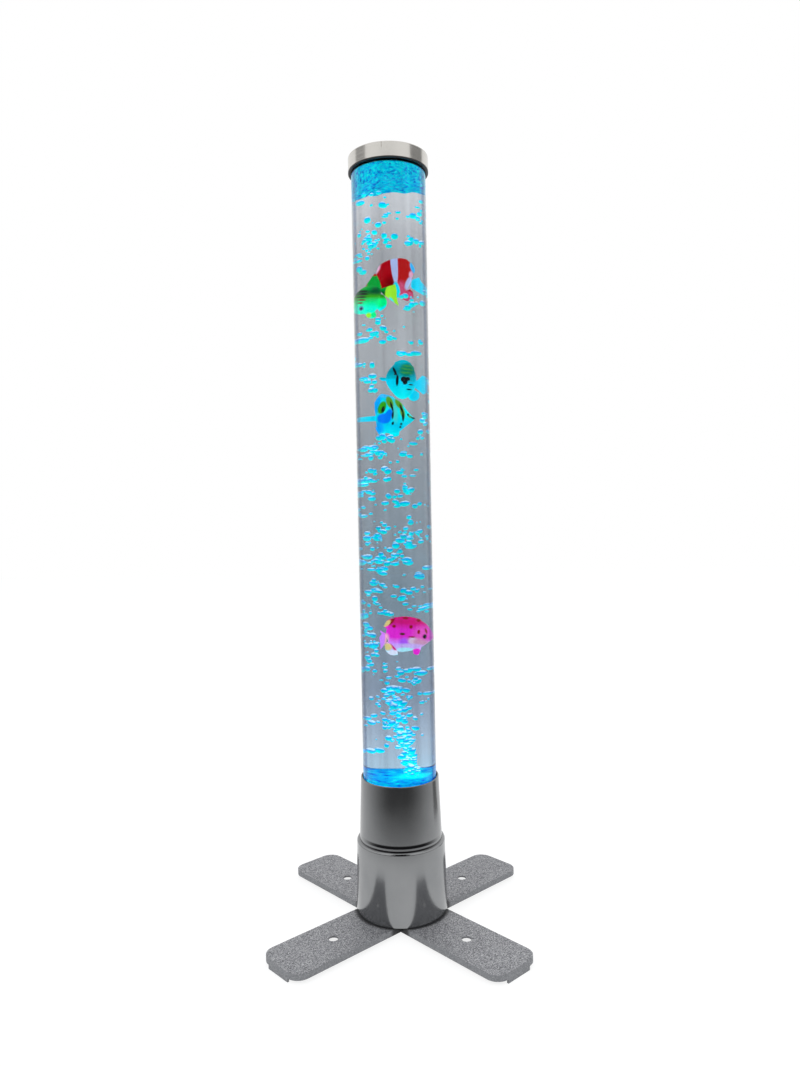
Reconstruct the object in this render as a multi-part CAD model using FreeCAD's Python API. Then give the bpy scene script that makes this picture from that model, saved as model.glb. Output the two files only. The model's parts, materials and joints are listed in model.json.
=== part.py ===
import FreeCAD, Part
import math
import os

from FreeCAD import Vector

# Bubble tube floor lamp, in millimetres. +Z runs up the axis of the tube, z = 0 is the
# floor, and the origin is under the middle of the tube. The front faces -Y, the arms of
# the foot lie on the diagonals, and the power inlet and the button are at the back.

# ---- Foot: one pressed pan with four arms, standing on a tab at the end of each arm
arm_reach = 205.0
arm_width = 76.0
arm_corner_radius = 18.0
pan_depth = 8.0
pan_wall = 2.5
tab_height = 5.0
floor_hole_pitch_radius = 120.0
floor_hole_diameter = 13.0

# ---- Base housing: two tapered shrouds
shadow_gap = 0.8
shroud_wall = 1.6
lower_shroud_height = 97.5
lower_shroud_taper = 2.0
upper_shroud_height = 84.5
upper_shroud_taper = 3.2
shoulder_step = 3.8
shoulder_round = 3.6
shoulder_thickness = 4.8
shoulder_lip = 1.0
spigot_height = 5.0
spigot_wall = 2.0
rim_round = 0.7

# ---- Tube and what closes it
tube_diameter = 100.0
tube_wall = 3.0
tube_length = 864.0
tube_in_base = 37.8
tube_floor_thickness = 12.0
tube_floor_drop = 1.0
cap_height = 19.0
cap_sheet = 0.8
cap_edge_round = 1.5
cap_grip = 11.0
flange_height = 2.0
plug_ring_wall = 2.5
plug_ring_chamfer = 1.0
plug_web = 3.0
plug_depth = 14.0
plug_skirt_wall = 2.5
seal_wire_radius = 1.2
seal_height_in_skirt = 4.0
vent_hole_diameter = 3.0
vent_hole_pitch_radius = 30.0
vent_hole_count = 6
vent_groove_width = 6.0
vent_groove_depth = 1.2

# ---- Clearances, and how far a cut runs past the face that it opens
fit = 0.05
seat_gap = 0.3
hand_gap = 0.35
past = 1.0

# ---- Tube socket and light
gasket_thickness = 1.5
gasket_width = 2.6
socket_floor = 3.0
socket_wall = 1.6
socket_grip = 12.0
socket_ring_wall = 2.0
board_shelf_width = 5.5
board_shelf_thickness = 3.0
led_board_thickness = 1.6
led_board_drop = 11.4
led_size = 5.0
led_height = 1.6
led_rim_gap = 8.4
led_ring_spacing = 10.0
led_counts = (12, 8)
board_screw_count = 3
board_hole_gap = 1.2
post_radius = 4.5
post_inset = 3.2
post_count = 4
collar_height = 8.0
collar_wall = 1.4
collar_drop = 0.8

# ---- Air nozzle in the tube floor, right of the middle
nozzle_x = 13.0
nozzle_head_radius = 7.0
nozzle_head_height = 4.0
nozzle_stem_radius = 4.0
nozzle_bore_radius = 1.2
nozzle_stem_below = 7.0
nut_across_flats = 13.0
nut_height = 5.0
washer_radius = 7.4
washer_thickness = 1.0

# ---- Air hose and check valve
hose_bore_radius = 2.2
hose_wall = 1.0
barb_length = 10.0
valve_radius = 6.5
valve_length = 14.0
valve_barb_length = 8.0
valve_edge = 1.0

# ---- Decks
deck_thickness = 3.0
bottom_plate_thickness = 4.0
boss_radius = 4.5
boss_height = 7.0
foot_screw_pitch_radius = 26.0
shroud_boss_radius = 3.6
shroud_boss_height = 18.0
shroud_boss_stand_off = 2.2

# ---- Screws
small_screw_radius = 1.5
small_head_radius = 2.8
small_head_height = 2.0
large_screw_radius = 2.0
large_head_radius = 3.8
large_head_height = 2.4
board_screw_radius = 1.0
board_head_radius = 1.9
board_head_height = 1.3
screw_bite = 7.0
pilot_spare = 1.0
blind_floor = 0.8
recess_depth = 0.9
recess_width = 0.8

# ---- Air pump, lying along X with its outlet under the nozzle
pump_length = 68.0
pump_width = 36.0
pump_height = 37.0
pump_wall = 2.0
pump_cover_thickness = 2.0
pump_outlet_offset = 10.0
pump_foot_radius = 4.0
pump_boss_gap = 1.0
pump_foot_spread_x = 26.0
pump_foot_spread_y = 10.0
pump_axis_height = 16.0
pump_post_radius = 3.0
pump_post_sunk = 0.8
core_leg = 6.0
core_outer_leg = 3.5
core_half_height = 13.0
core_depth = 14.0
core_length = 17.0
core_yoke = 4.0
core_back_gap = 2.0
coil_overhang = 6.0
coil_end_gap = 0.75
coil_round = 2.5
magnet_gap = 1.5
magnet_length = 4.0
magnet_side = 10.0
lever_thickness = 1.2
lever_width = 8.0
lever_hub_radius = 3.0
lever_plate = 1.0
pivot_offset = 25.0
pivot_pin_radius = 1.5
ear_thickness = 3.0
ear_gap = 0.4
ear_length = 7.0
ear_rise = 5.0
diaphragm_radius = 9.0
diaphragm_tip_radius = 3.5
diaphragm_height = 7.4
diaphragm_rim = 1.5
diaphragm_rim_width = 2.0
diaphragm_foot = 1.5
diaphragm_wall = 1.0
valve_chamber_inset = 3.0
valve_block_length = 22.0
valve_block_width = 22.0

# ---- Control board with the inlet, the button and its switch
board_thickness = 1.6
board_width = 52.0
board_height = 44.0
guide_width = 5.5
guide_depth = 7.6
guide_height = 23.0
guide_overlap = 2.8
controller_x = -14.0
controller_side = 10.0
controller_height = 1.8
driver_x = 1.0
driver_side = 6.0
driver_height = 2.2
capacitor_radius = 4.0
capacitor_length = 9.0
capacitor_gap = 1.0
inlet_x = -12.0
button_x = 12.0
control_height = 16.0
inlet_width = 9.4
inlet_height = 11.0
inlet_body_length = 11.0
inlet_nose_radius = 4.4
inlet_nose_length = 3.4
inlet_bore_radius = 2.8
inlet_bore_depth = 9.0
inlet_recess = 0.2
inlet_pin_radius = 1.0
inlet_pin_recess = 1.5
button_radius = 5.0
button_proud = 2.4
button_flange_radius = 6.2
button_flange_gap = 0.45
button_flange_thickness = 1.2
button_stem_radius = 2.2
button_round = 1.0
button_travel = 1.0
switch_side = 6.0
switch_body = 3.6
plunger_radius = 1.7
plunger_reach = 1.4
lead_radius = 1.6
lead_hole_gap = 1.4
led_lead_x = -20.0
led_lead_y = 27.0
connector_size = 7.0
connector_drop = 12.0
led_connector_x = -16.0
pump_connector_x = 8.0

# ---- Fish: moulded figures. Facing is 1 where the nose points to +X and -1 to -X, and
# a negative pitch drops the nose. A centre is given in shares of the bore's radius, across
# and in depth, and of the height from the tube's floor to the lid. The other terms are
# explained at the function fish.
fin_thickness = 1.8
fish_sizes = {
    "fish_red": dict(
        centre=(0.011, 0.447, 0.8278), facing=-1, pitch=-4.0,
        length=36.0, height=46.0, thickness=17.0,
        tail=(13.0, 22.0), dorsal=(0.05, 6.0), anal=(0.28, 8.0, 7.0),
    ),
    "fish_green": dict(
        centre=(-0.553, 0.021, 0.7922), facing=-1, pitch=-26.0,
        length=34.0, height=30.0, thickness=14.0,
        tail=(15.0, 22.0), dorsal=(0.12, 15.0), anal=(-0.12, 9.0, 5.0),
    ),
    "fish_teal": dict(
        centre=(0.085, 0.298, 0.6594), facing=-1, pitch=6.0,
        length=33.0, height=46.0, thickness=16.0,
        tail=(11.0, 26.0), dorsal=(0.0, 4.0), anal=(0.30, 7.0, 8.0),
    ),
    "fish_striped": dict(
        centre=(0.053, -0.085, 0.6015), facing=1, pitch=-12.0,
        length=43.0, height=45.0, thickness=15.0,
        tail=(22.0, 9.0), dorsal=(0.20, 3.0), anal=(0.25, 8.0, 7.0),
    ),
    "fish_pink": dict(
        centre=(0.362, 0.0, 0.2345), facing=1, pitch=-5.0,
        length=50.0, height=44.0, thickness=17.0,
        tail=(8.0, 24.0), dorsal=(0.10, 5.0), anal=(0.30, 8.0, 7.0),
    ),
}

# ---- Sizes that follow
pan_top = tab_height + pan_depth
pan_underside = pan_top - pan_wall
lower_bottom = pan_top + shadow_gap
lower_top = lower_bottom + lower_shroud_height
upper_top = lower_top + upper_shroud_height
tube_radius = tube_diameter / 2
bore_radius = tube_radius - tube_wall
tube_bottom = upper_top - tube_in_base
tube_top = tube_bottom + tube_length
floor_top = upper_top - tube_floor_drop
floor_underside = floor_top - tube_floor_thickness
cap_bottom = tube_top - cap_grip
cap_top = cap_bottom + cap_height
skirt_bottom = tube_top - plug_depth
socket_seat = tube_bottom - gasket_thickness
socket_bottom = socket_seat - socket_floor
led_board_top = floor_underside - led_board_drop
led_board_bottom = led_board_top - led_board_thickness
shoulder_underside = lower_top - shoulder_thickness
deck_top = shoulder_underside
deck_bottom = deck_top - deck_thickness
plate_top = pan_top + bottom_plate_thickness
pump_bottom = plate_top + boss_height + pump_boss_gap
pump_floor = pump_bottom + pump_wall
pump_rim = pump_bottom + pump_height
pump_cover_top = pump_rim + pump_cover_thickness
pump_axis_z = pump_floor + pump_axis_height
pump_x = nozzle_x - pump_outlet_offset
barb_radius = hose_bore_radius - fit
hose_radius = hose_bore_radius + hose_wall
socket_outer_radius = tube_radius + seat_gap + socket_wall
socket_ring_radius = bore_radius - seat_gap
socket_ring_inner = socket_ring_radius - socket_ring_wall
board_screw_pitch_radius = socket_ring_inner - board_shelf_width / 2
led_board_radius = socket_ring_inner - seat_gap
post_pitch_radius = socket_ring_radius - post_inset
shoulder_opening_radius = post_pitch_radius + post_radius + shoulder_lip
cap_radius = tube_radius + hand_gap + plug_ring_wall + fit + cap_sheet
collar_radius = tube_radius + fit + collar_wall
upper_shroud_top_radius = collar_radius + fit + shroud_wall
upper_shroud_bottom_radius = upper_shroud_top_radius + upper_shroud_taper
lower_shroud_top_radius = upper_shroud_bottom_radius + shoulder_step
lower_shroud_bottom_radius = lower_shroud_top_radius + lower_shroud_taper


def lower_outer_radius(z):
    share = (z - lower_bottom) / lower_shroud_height
    return lower_shroud_bottom_radius - share * lower_shroud_taper


def upper_outer_radius(z):
    share = (z - lower_top) / upper_shroud_height
    return upper_shroud_bottom_radius - share * upper_shroud_taper


def lower_inner_radius(z):
    return lower_outer_radius(z) - shroud_wall


shroud_boss_pitch_radius = (
    lower_inner_radius(plate_top) - shroud_boss_radius - shroud_boss_stand_off
)
deck_screw_pitch_radius = (shoulder_opening_radius + lower_inner_radius(deck_top)) / 2
seal_track_radius = bore_radius - fit - seal_wire_radius

control_z = plate_top + control_height
inlet_face_y = math.sqrt(lower_outer_radius(control_z) ** 2 - inlet_x ** 2) - inlet_recess
board_back = inlet_face_y - inlet_nose_length - inlet_body_length
board_y = board_back - board_thickness
board_bottom = plate_top + seat_gap
board_top = board_bottom + board_height
button_reach = math.sqrt(lower_outer_radius(control_z) ** 2 - button_x ** 2) + button_proud
button_far_x = button_x + button_flange_radius
button_wall_y = math.sqrt(lower_inner_radius(control_z) ** 2 - button_far_x ** 2)
button_flange_y = button_wall_y - button_flange_gap - button_flange_thickness
plunger_end = board_back + switch_body - button_travel - seat_gap
connector_z = board_top - connector_drop
connector_y = board_y - connector_size / 2

core_back = pump_x - pump_length / 2 + pump_wall + core_back_gap
core_front = core_back + core_yoke + core_length
lever_end = core_front + magnet_gap + magnet_length
pivot_x = pump_x + pivot_offset
coil_half_height = core_half_height - core_outer_leg - seat_gap
coil_back = core_back + core_yoke + coil_end_gap
coil_end = core_front - coil_end_gap
coil_middle_x = (coil_back + coil_end) / 2
coil_half_width = core_depth / 2 + coil_overhang
diaphragm_bottom = pump_axis_z + lever_thickness / 2
diaphragm_top = diaphragm_bottom + diaphragm_height
pump_post_inset = pump_wall + pump_post_radius - pump_post_sunk
pump_posts = [
    (pump_x + sx * (pump_length / 2 - pump_post_inset),
     sy * (pump_width / 2 - pump_post_inset))
    for sx in (-1, 1) for sy in (-1, 1)
]
nozzle_stem_bottom = floor_underside - nozzle_stem_below
nozzle_barb_bottom = nozzle_stem_bottom - barb_length
valve_bottom = (deck_top + nozzle_barb_bottom - valve_length) / 2
valve_top = valve_bottom + valve_length


# ---- Shape helpers

def cylinder(radius, bottom, top, x=0.0, y=0.0):
    return Part.makeCylinder(radius, top - bottom, Vector(x, y, bottom))


def ring(inner, outer, bottom, top, x=0.0, y=0.0):
    hole = cylinder(inner, bottom - past, top + past, x, y)
    return cylinder(outer, bottom, top, x, y).cut(hole)


def block(x_range, y_range, z_range):
    low = Vector(x_range[0], y_range[0], z_range[0])
    return Part.makeBox(
        x_range[1] - x_range[0], y_range[1] - y_range[0], z_range[1] - z_range[0], low
    )


def revolved(points):
    """A solid of revolution about Z from an outline of (radius, height) points."""
    outline = Part.makePolygon([Vector(r, 0, z) for r, z in points + points[:1]])
    return Part.Face(outline).revolve(Vector(0, 0, 0), Vector(0, 0, 1), 360)


def rod_along_y(radius, start, end, x, z):
    return Part.makeCylinder(radius, end - start, Vector(x, start, z), Vector(0, 1, 0))


def rounded_circles(shape, radius, circle_radius, height):
    """Round the circular edges of one radius and height about Z."""
    edges = []
    for edge in shape.Edges:
        curve = edge.Curve
        if isinstance(curve, Part.Circle):
            same_size = abs(curve.Radius - circle_radius) < 1e-3
            if same_size and abs(curve.Center.z - height) < 1e-3:
                edges.append(edge)
    return shape.makeFillet(radius, edges)


def around(count, radius, first_degrees=0.0):
    """Points evenly spaced on a circle about Z."""
    step = 2 * math.pi / count
    first = math.radians(first_degrees)
    return [
        (radius * math.cos(first + i * step), radius * math.sin(first + i * step))
        for i in range(count)
    ]


def tube_path(points):
    """Straight runs joined by tangent arcs as large as the shorter run allows."""
    corners = [Vector(*p) for p in points]
    edges = []
    start = corners[0]
    for before, corner, after in zip(corners, corners[1:], corners[2:]):
        back = (before - corner).normalize()
        ahead = (after - corner).normalize()
        turn = math.pi - back.getAngle(ahead)
        shorter = min((before - corner).Length, (after - corner).Length)
        setback = 0.45 * shorter
        radius = setback / math.tan(turn / 2)
        arc_start = corner + back * setback
        arc_end = corner + ahead * setback
        inward = (back + ahead).normalize()
        middle = corner + inward * (radius / math.cos(turn / 2) - radius)
        edges.append(Part.LineSegment(start, arc_start).toShape())
        edges.append(Part.Arc(arc_start, middle, arc_end).toShape())
        start = arc_end
    edges.append(Part.LineSegment(start, corners[-1]).toShape())
    return Part.Wire(edges)


def lead(points):
    path = tube_path(points)
    direction = Vector(*points[1]) - Vector(*points[0])
    section = Part.Wire(Part.makeCircle(lead_radius, Vector(*points[0]), direction))
    return path.makePipeShell([section], True, False)


def pan_screw(x, y, head_seat, length, shank, head, head_height, up=True):
    """A pan-head screw with a cross recess. It points up, or down if up is false."""
    way = 1 if up else -1
    axis = Vector(0, 0, way)
    body = Part.makeCylinder(shank, length, Vector(x, y, head_seat), axis)
    cap = Part.makeCylinder(head, head_height, Vector(x, y, head_seat), axis * -1)
    face = head_seat - way * head_height
    z_range = sorted((face - way, face + way * recess_depth))
    reach = 0.65 * head
    slots = [
        block((x - reach, x + reach), (y - recess_width / 2, y + recess_width / 2), z_range),
        block((x - recess_width / 2, x + recess_width / 2), (y - reach, y + reach), z_range),
    ]
    return body.fuse(cap).cut(slots[0].fuse(slots[1])).removeSplitter()


def small_screw(x, y, head_seat, length):
    return pan_screw(
        x, y, head_seat, length, small_screw_radius, small_head_radius, small_head_height
    )


# ---- Foot

def arm_outline(shrink, bottom, top):
    """One bar through the axis along X, rounded at its corners, before it is turned."""
    reach = arm_reach - shrink
    half = arm_width / 2 - shrink
    bar = block((-reach, reach), (-half, half), (bottom, top))
    corners = [
        e for e in bar.Edges
        if abs(e.Vertexes[0].X - e.Vertexes[-1].X) < 1e-6
        and abs(e.Vertexes[0].Y - e.Vertexes[-1].Y) < 1e-6
    ]
    return bar.makeFillet(arm_corner_radius - shrink, corners)


def turned(shape, degrees):
    copy = shape.copy()
    copy.rotate(Vector(0, 0, 0), Vector(0, 0, 1), degrees)
    return copy


def foot_cross():
    outside = arm_outline(0.0, tab_height, pan_top)
    inside = arm_outline(pan_wall, tab_height - past, pan_underside)
    outer = turned(outside, 45).fuse(turned(outside, 135))
    hollow = turned(inside, 45).fuse(turned(inside, 135))
    pan = outer.cut(hollow)
    half_tab = arm_width / 2 - arm_corner_radius
    tab = block((arm_reach - pan_wall, arm_reach), (-half_tab, half_tab), (0, pan_underside))
    for degrees in (45, 135, 225, 315):
        pan = pan.fuse(turned(tab, degrees))
    for x, y in around(4, floor_hole_pitch_radius, 45):
        hole = floor_hole_diameter / 2
        pan = pan.cut(cylinder(hole, pan_underside - past, pan_top + past, x, y))
    for x, y in around(4, foot_screw_pitch_radius, 45):
        hole = large_screw_radius + fit
        pan = pan.cut(cylinder(hole, pan_underside - past, pan_top + past, x, y))
    return pan.removeSplitter()


def foot_screws():
    length = pan_wall + bottom_plate_thickness + boss_height - blind_floor - pilot_spare
    return [
        pan_screw(
            x, y, pan_underside, length, large_screw_radius, large_head_radius,
            large_head_height,
        )
        for x, y in around(4, foot_screw_pitch_radius, 45)
    ]


# ---- Bottom plate and lower shroud

def board_guides():
    """Two slotted posts that hold the control board upright."""
    guides = None
    for side in (-1, 1):
        edge = side * (board_width / 2 - guide_overlap)
        x_range = sorted((edge, edge + side * guide_width))
        middle = board_y + board_thickness / 2
        y_range = (middle - guide_depth / 2, middle + guide_depth / 2)
        guide_top = plate_top + guide_height
        post = block(x_range, y_range, (plate_top - past, guide_top))
        slot_x = sorted((edge - side * past, side * (board_width / 2 + seat_gap)))
        slot_y = (board_y - seat_gap, board_back + seat_gap)
        post = post.cut(block(slot_x, slot_y, (plate_top, guide_top + past)))
        guides = post if guides is None else guides.fuse(post)
    return guides


def bottom_plate():
    boss_top = plate_top + boss_height
    plate = cylinder(lower_inner_radius(plate_top) - seat_gap, pan_top, plate_top)
    for x, y in around(4, foot_screw_pitch_radius, 45):
        plate = plate.fuse(cylinder(boss_radius, plate_top - past, boss_top, x, y))
    plate = plate.fuse(board_guides())
    for x, y in around(4, foot_screw_pitch_radius, 45):
        pilot_top = boss_top - blind_floor
        plate = plate.cut(cylinder(large_screw_radius + fit, pan_top - past, pilot_top, x, y))
    recess_top = pan_top + small_head_height + seat_gap
    for x, y in around(4, shroud_boss_pitch_radius):
        hole = small_screw_radius + fit
        recess = small_head_radius + seat_gap
        plate = plate.cut(cylinder(hole, pan_top - past, plate_top + past, x, y))
        plate = plate.cut(cylinder(recess, pan_top - past, recess_top, x, y))
    return plate.removeSplitter()


def shroud_screws():
    seat = pan_top + small_head_height + seat_gap
    length = plate_top - seat + screw_bite
    return [small_screw(x, y, seat, length) for x, y in around(4, shroud_boss_pitch_radius)]


def base_shroud_lower():
    spigot_top = lower_top + spigot_height
    spigot_outer = upper_outer_radius(spigot_top) - shroud_wall - seat_gap
    spigot_inner = spigot_outer - spigot_wall
    inside_top = lower_inner_radius(shoulder_underside)
    shell = revolved([
        (lower_shroud_bottom_radius, lower_bottom),
        (lower_shroud_top_radius, lower_top),
        (spigot_outer, lower_top),
        (spigot_outer, spigot_top),
        (spigot_inner, spigot_top),
        (spigot_inner, lower_top),
        (shoulder_opening_radius, lower_top),
        (shoulder_opening_radius, shoulder_underside),
        (inside_top, shoulder_underside),
        (lower_shroud_bottom_radius - shroud_wall, lower_bottom),
    ])
    shell = rounded_circles(shell, shoulder_round, lower_shroud_top_radius, lower_top)
    boss_top = plate_top + shroud_boss_height
    for degrees in (0, 90, 180, 270):
        x, y = around(1, shroud_boss_pitch_radius, degrees)[0]
        boss = cylinder(shroud_boss_radius, plate_top, boss_top, x, y)
        wall_x = lower_inner_radius(boss_top) + shroud_wall / 2
        rib = block(
            (shroud_boss_pitch_radius, wall_x), (-shroud_wall / 2, shroud_wall / 2),
            (plate_top, boss_top),
        )
        shell = shell.fuse(boss).fuse(turned(rib, degrees))
        pilot_top = plate_top + screw_bite + pilot_spare
        hole = cylinder(small_screw_radius + fit, plate_top - past, pilot_top, x, y)
        shell = shell.cut(hole)
    for x, y in around(4, deck_screw_pitch_radius, 45):
        pilot_top = lower_top - blind_floor
        hole = cylinder(small_screw_radius + fit, shoulder_underside - past, pilot_top, x, y)
        shell = shell.cut(hole)
    outside = lower_shroud_bottom_radius + past
    shell = shell.cut(
        rod_along_y(inlet_nose_radius + seat_gap, board_y, outside, inlet_x, control_z)
    )
    shell = shell.cut(
        rod_along_y(button_radius + seat_gap, board_y, outside, button_x, control_z)
    )
    return shell.removeSplitter()


# ---- Middle deck

def deck_lead_hole():
    radius = lead_radius + lead_hole_gap
    return cylinder(radius, deck_bottom - past, deck_top + past, led_lead_x, led_lead_y)


def mid_deck():
    bottom = deck_bottom - past
    top = deck_top + past
    deck = cylinder(lower_inner_radius(deck_top) - seat_gap, deck_bottom, deck_top)
    for x, y in around(4, deck_screw_pitch_radius, 45) + around(post_count, post_pitch_radius):
        deck = deck.cut(cylinder(small_screw_radius + fit, bottom, top, x, y))
    hose_hole = cylinder(hose_radius + seat_gap, bottom, top, nozzle_x)
    return deck.cut(hose_hole).cut(deck_lead_hole())


def deck_screws():
    length = deck_thickness + shoulder_thickness - blind_floor - pilot_spare
    return [
        small_screw(x, y, deck_bottom, length)
        for x, y in around(4, deck_screw_pitch_radius, 45)
    ]


def socket_screws():
    length = deck_thickness + screw_bite
    return [
        small_screw(x, y, deck_bottom, length)
        for x, y in around(post_count, post_pitch_radius)
    ]


# ---- Upper shroud, collar, socket and gasket

def base_shroud_upper():
    shell = revolved([
        (upper_shroud_bottom_radius, lower_top),
        (upper_shroud_top_radius, upper_top),
        (upper_shroud_top_radius - shroud_wall, upper_top),
        (upper_shroud_bottom_radius - shroud_wall, lower_top),
    ])
    return rounded_circles(shell, rim_round, upper_shroud_top_radius, upper_top)


def tube_collar():
    top = upper_top - collar_drop
    return ring(tube_radius + fit, collar_radius, top - collar_height, top)


def socket_profile():
    ring_top = floor_underside - seat_gap
    grip_top = tube_bottom + socket_grip
    shelf_top = led_board_bottom
    shelf_bottom = shelf_top - board_shelf_thickness
    shelf_inner = socket_ring_inner - board_shelf_width
    return [
        (shelf_inner, shelf_bottom), (socket_ring_inner, shelf_bottom),
        (socket_ring_inner, socket_bottom), (socket_outer_radius, socket_bottom),
        (socket_outer_radius, grip_top), (tube_radius + seat_gap, grip_top),
        (tube_radius + seat_gap, socket_seat), (socket_ring_radius, socket_seat),
        (socket_ring_radius, ring_top), (socket_ring_inner, ring_top),
        (socket_ring_inner, shelf_top), (shelf_inner, shelf_top),
    ]


def board_screw_places():
    return around(board_screw_count, board_screw_pitch_radius, 90 / board_screw_count)


def tube_socket():
    """The carrier that the tube stands in, on four posts from the deck."""
    socket = revolved(socket_profile())
    web_inner = post_pitch_radius - post_radius
    socket = socket.fuse(ring(web_inner, socket_ring_radius, socket_bottom, socket_seat))
    for x, y in around(post_count, post_pitch_radius):
        socket = socket.fuse(cylinder(post_radius, deck_top, socket_seat, x, y))
    for x, y in around(post_count, post_pitch_radius):
        pilot_top = deck_top + screw_bite + pilot_spare
        hole = cylinder(small_screw_radius + fit, deck_top - past, pilot_top, x, y)
        socket = socket.cut(hole)
    shelf_bottom = led_board_bottom - board_shelf_thickness
    for x, y in board_screw_places():
        hole_radius = board_screw_radius + fit
        hole = cylinder(hole_radius, shelf_bottom - past, led_board_bottom + past, x, y)
        socket = socket.cut(hole)
    return socket.removeSplitter()


def tube_gasket():
    middle = tube_radius - tube_wall / 2
    return ring(middle - gasket_width / 2, middle + gasket_width / 2, socket_seat, tube_bottom)


# ---- Light

def led_board():
    bottom = led_board_bottom - past
    top = led_board_top + past
    board = cylinder(led_board_radius, led_board_bottom, led_board_top)
    board = board.cut(cylinder(washer_radius + board_hole_gap, bottom, top, nozzle_x))
    for x, y in board_screw_places():
        board = board.cut(cylinder(board_screw_radius + fit, bottom, top, x, y))
    return board


def led_chips():
    half = led_size / 2
    z_range = (led_board_top, led_board_top + led_height)
    chips = []
    for number, count in enumerate(led_counts):
        radius = led_board_radius - led_rim_gap - number * led_ring_spacing
        for x, y in around(count, radius, 180 / count):
            chips.append(block((x - half, x + half), (y - half, y + half), z_range))
    return chips


def led_board_screws():
    length = led_board_thickness + board_shelf_thickness
    return [
        pan_screw(
            x, y, led_board_top, length, board_screw_radius, board_head_radius,
            board_head_height, up=False,
        )
        for x, y in board_screw_places()
    ]


# ---- Tube, its floor, nozzle, nut and washer

def acrylic_tube():
    return ring(bore_radius, tube_radius, tube_bottom, tube_top)


def tube_floor():
    disc = cylinder(bore_radius - fit, floor_underside, floor_top)
    hole_radius = nozzle_stem_radius + fit
    hole = cylinder(hole_radius, floor_underside - past, floor_top + past, nozzle_x)
    return disc.cut(hole)


def air_nozzle():
    head_top = floor_top + nozzle_head_height
    body = cylinder(nozzle_stem_radius, nozzle_stem_bottom, floor_top + past, nozzle_x)
    head = cylinder(nozzle_head_radius, floor_top, head_top, nozzle_x)
    head = head.makeFillet(nozzle_head_height / 2, [
        e for e in head.Edges
        if isinstance(e.Curve, Part.Circle) and abs(e.Curve.Center.z - head_top) < 1e-3
    ])
    barb = cylinder(barb_radius, nozzle_barb_bottom, nozzle_stem_bottom + past, nozzle_x)
    bore = cylinder(nozzle_bore_radius, nozzle_barb_bottom - past, head_top + past, nozzle_x)
    return body.fuse(head).fuse(barb).cut(bore).removeSplitter()


def nozzle_washer():
    top = floor_underside
    hole = nozzle_stem_radius + fit
    return ring(hole, washer_radius, top - washer_thickness, top, nozzle_x)


def nozzle_nut():
    top = floor_underside - washer_thickness
    corner = nut_across_flats / math.sqrt(3)
    points = [Vector(nozzle_x + x, y, top - nut_height) for x, y in around(6, corner)]
    hexagon = Part.Face(Part.makePolygon(points + points[:1]))
    nut = hexagon.extrude(Vector(0, 0, nut_height))
    hole = cylinder(nozzle_stem_radius + fit, top - nut_height - past, top + past, nozzle_x)
    return nut.cut(hole)


# ---- Cap

def cap_shell():
    outer = cylinder(cap_radius, cap_bottom, cap_top)
    outer = rounded_circles(outer, cap_edge_round, cap_radius, cap_top)
    inner_radius = cap_radius - cap_sheet
    inner = cylinder(inner_radius, cap_bottom - past, cap_top - cap_sheet)
    inner = rounded_circles(
        inner, cap_edge_round - cap_sheet, inner_radius, cap_top - cap_sheet
    )
    return outer.cut(inner)


def lid_plug():
    """Black plug under the cap: a ring outside the tube, a web on it, a skirt inside it."""
    ring_outer = cap_radius - cap_sheet - fit
    ring_inner = tube_radius + hand_gap
    skirt_outer = bore_radius - 2 * hand_gap
    skirt_inner = skirt_outer - plug_skirt_wall
    ring_top = cap_top - cap_sheet
    web_top = tube_top + plug_web
    plug = revolved([
        (0, tube_top), (skirt_inner, tube_top), (skirt_inner, skirt_bottom),
        (skirt_outer, skirt_bottom), (skirt_outer, tube_top), (ring_inner, tube_top),
        (ring_inner, cap_bottom - flange_height), (cap_radius, cap_bottom - flange_height),
        (cap_radius, cap_bottom), (ring_outer, cap_bottom),
        (ring_outer, ring_top - plug_ring_chamfer), (ring_outer - plug_ring_chamfer, ring_top),
        (ring_inner, ring_top), (ring_inner, web_top), (0, web_top),
    ])
    seal_z = skirt_bottom + seal_height_in_skirt
    groove = ring(
        seal_track_radius - seal_wire_radius - fit, skirt_outer + past,
        seal_z - seal_wire_radius - fit, seal_z + seal_wire_radius + fit,
    )
    plug = plug.cut(groove)
    for x, y in around(vent_hole_count, vent_hole_pitch_radius):
        hole = cylinder(vent_hole_diameter / 2, tube_top - past, web_top + past, x, y)
        plug = plug.cut(hole)
    groove_x = (-vent_groove_width / 2, vent_groove_width / 2)
    groove_y = (ring_outer - vent_groove_depth, cap_radius + past)
    groove_z = (cap_bottom - flange_height - past, ring_top + past)
    vent = block(groove_x, groove_y, groove_z)
    return plug.cut(vent).removeSplitter()


def lid_seal():
    height = skirt_bottom + seal_height_in_skirt
    return Part.makeTorus(seal_track_radius, seal_wire_radius, Vector(0, 0, height))


# ---- Air hose and check valve

def check_valve():
    ends = (valve_bottom - valve_barb_length, valve_top + valve_barb_length)
    body = cylinder(valve_radius, valve_bottom, valve_top, nozzle_x)
    body = body.makeChamfer(valve_edge, [
        e for e in body.Edges if isinstance(e.Curve, Part.Circle)
    ])
    barbs = cylinder(barb_radius, ends[0], ends[1], nozzle_x)
    bore = cylinder(nozzle_bore_radius, ends[0] - past, ends[1] + past, nozzle_x)
    return body.fuse(barbs).cut(bore).removeSplitter()


def air_hose_lower():
    bottom = pump_cover_top + seat_gap
    top = valve_bottom - seat_gap
    return ring(hose_bore_radius, hose_radius, bottom, top, nozzle_x)


def air_hose_upper():
    bottom = valve_top + seat_gap
    top = nozzle_stem_bottom - seat_gap
    return ring(hose_bore_radius, hose_radius, bottom, top, nozzle_x)


# ---- Air pump

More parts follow.
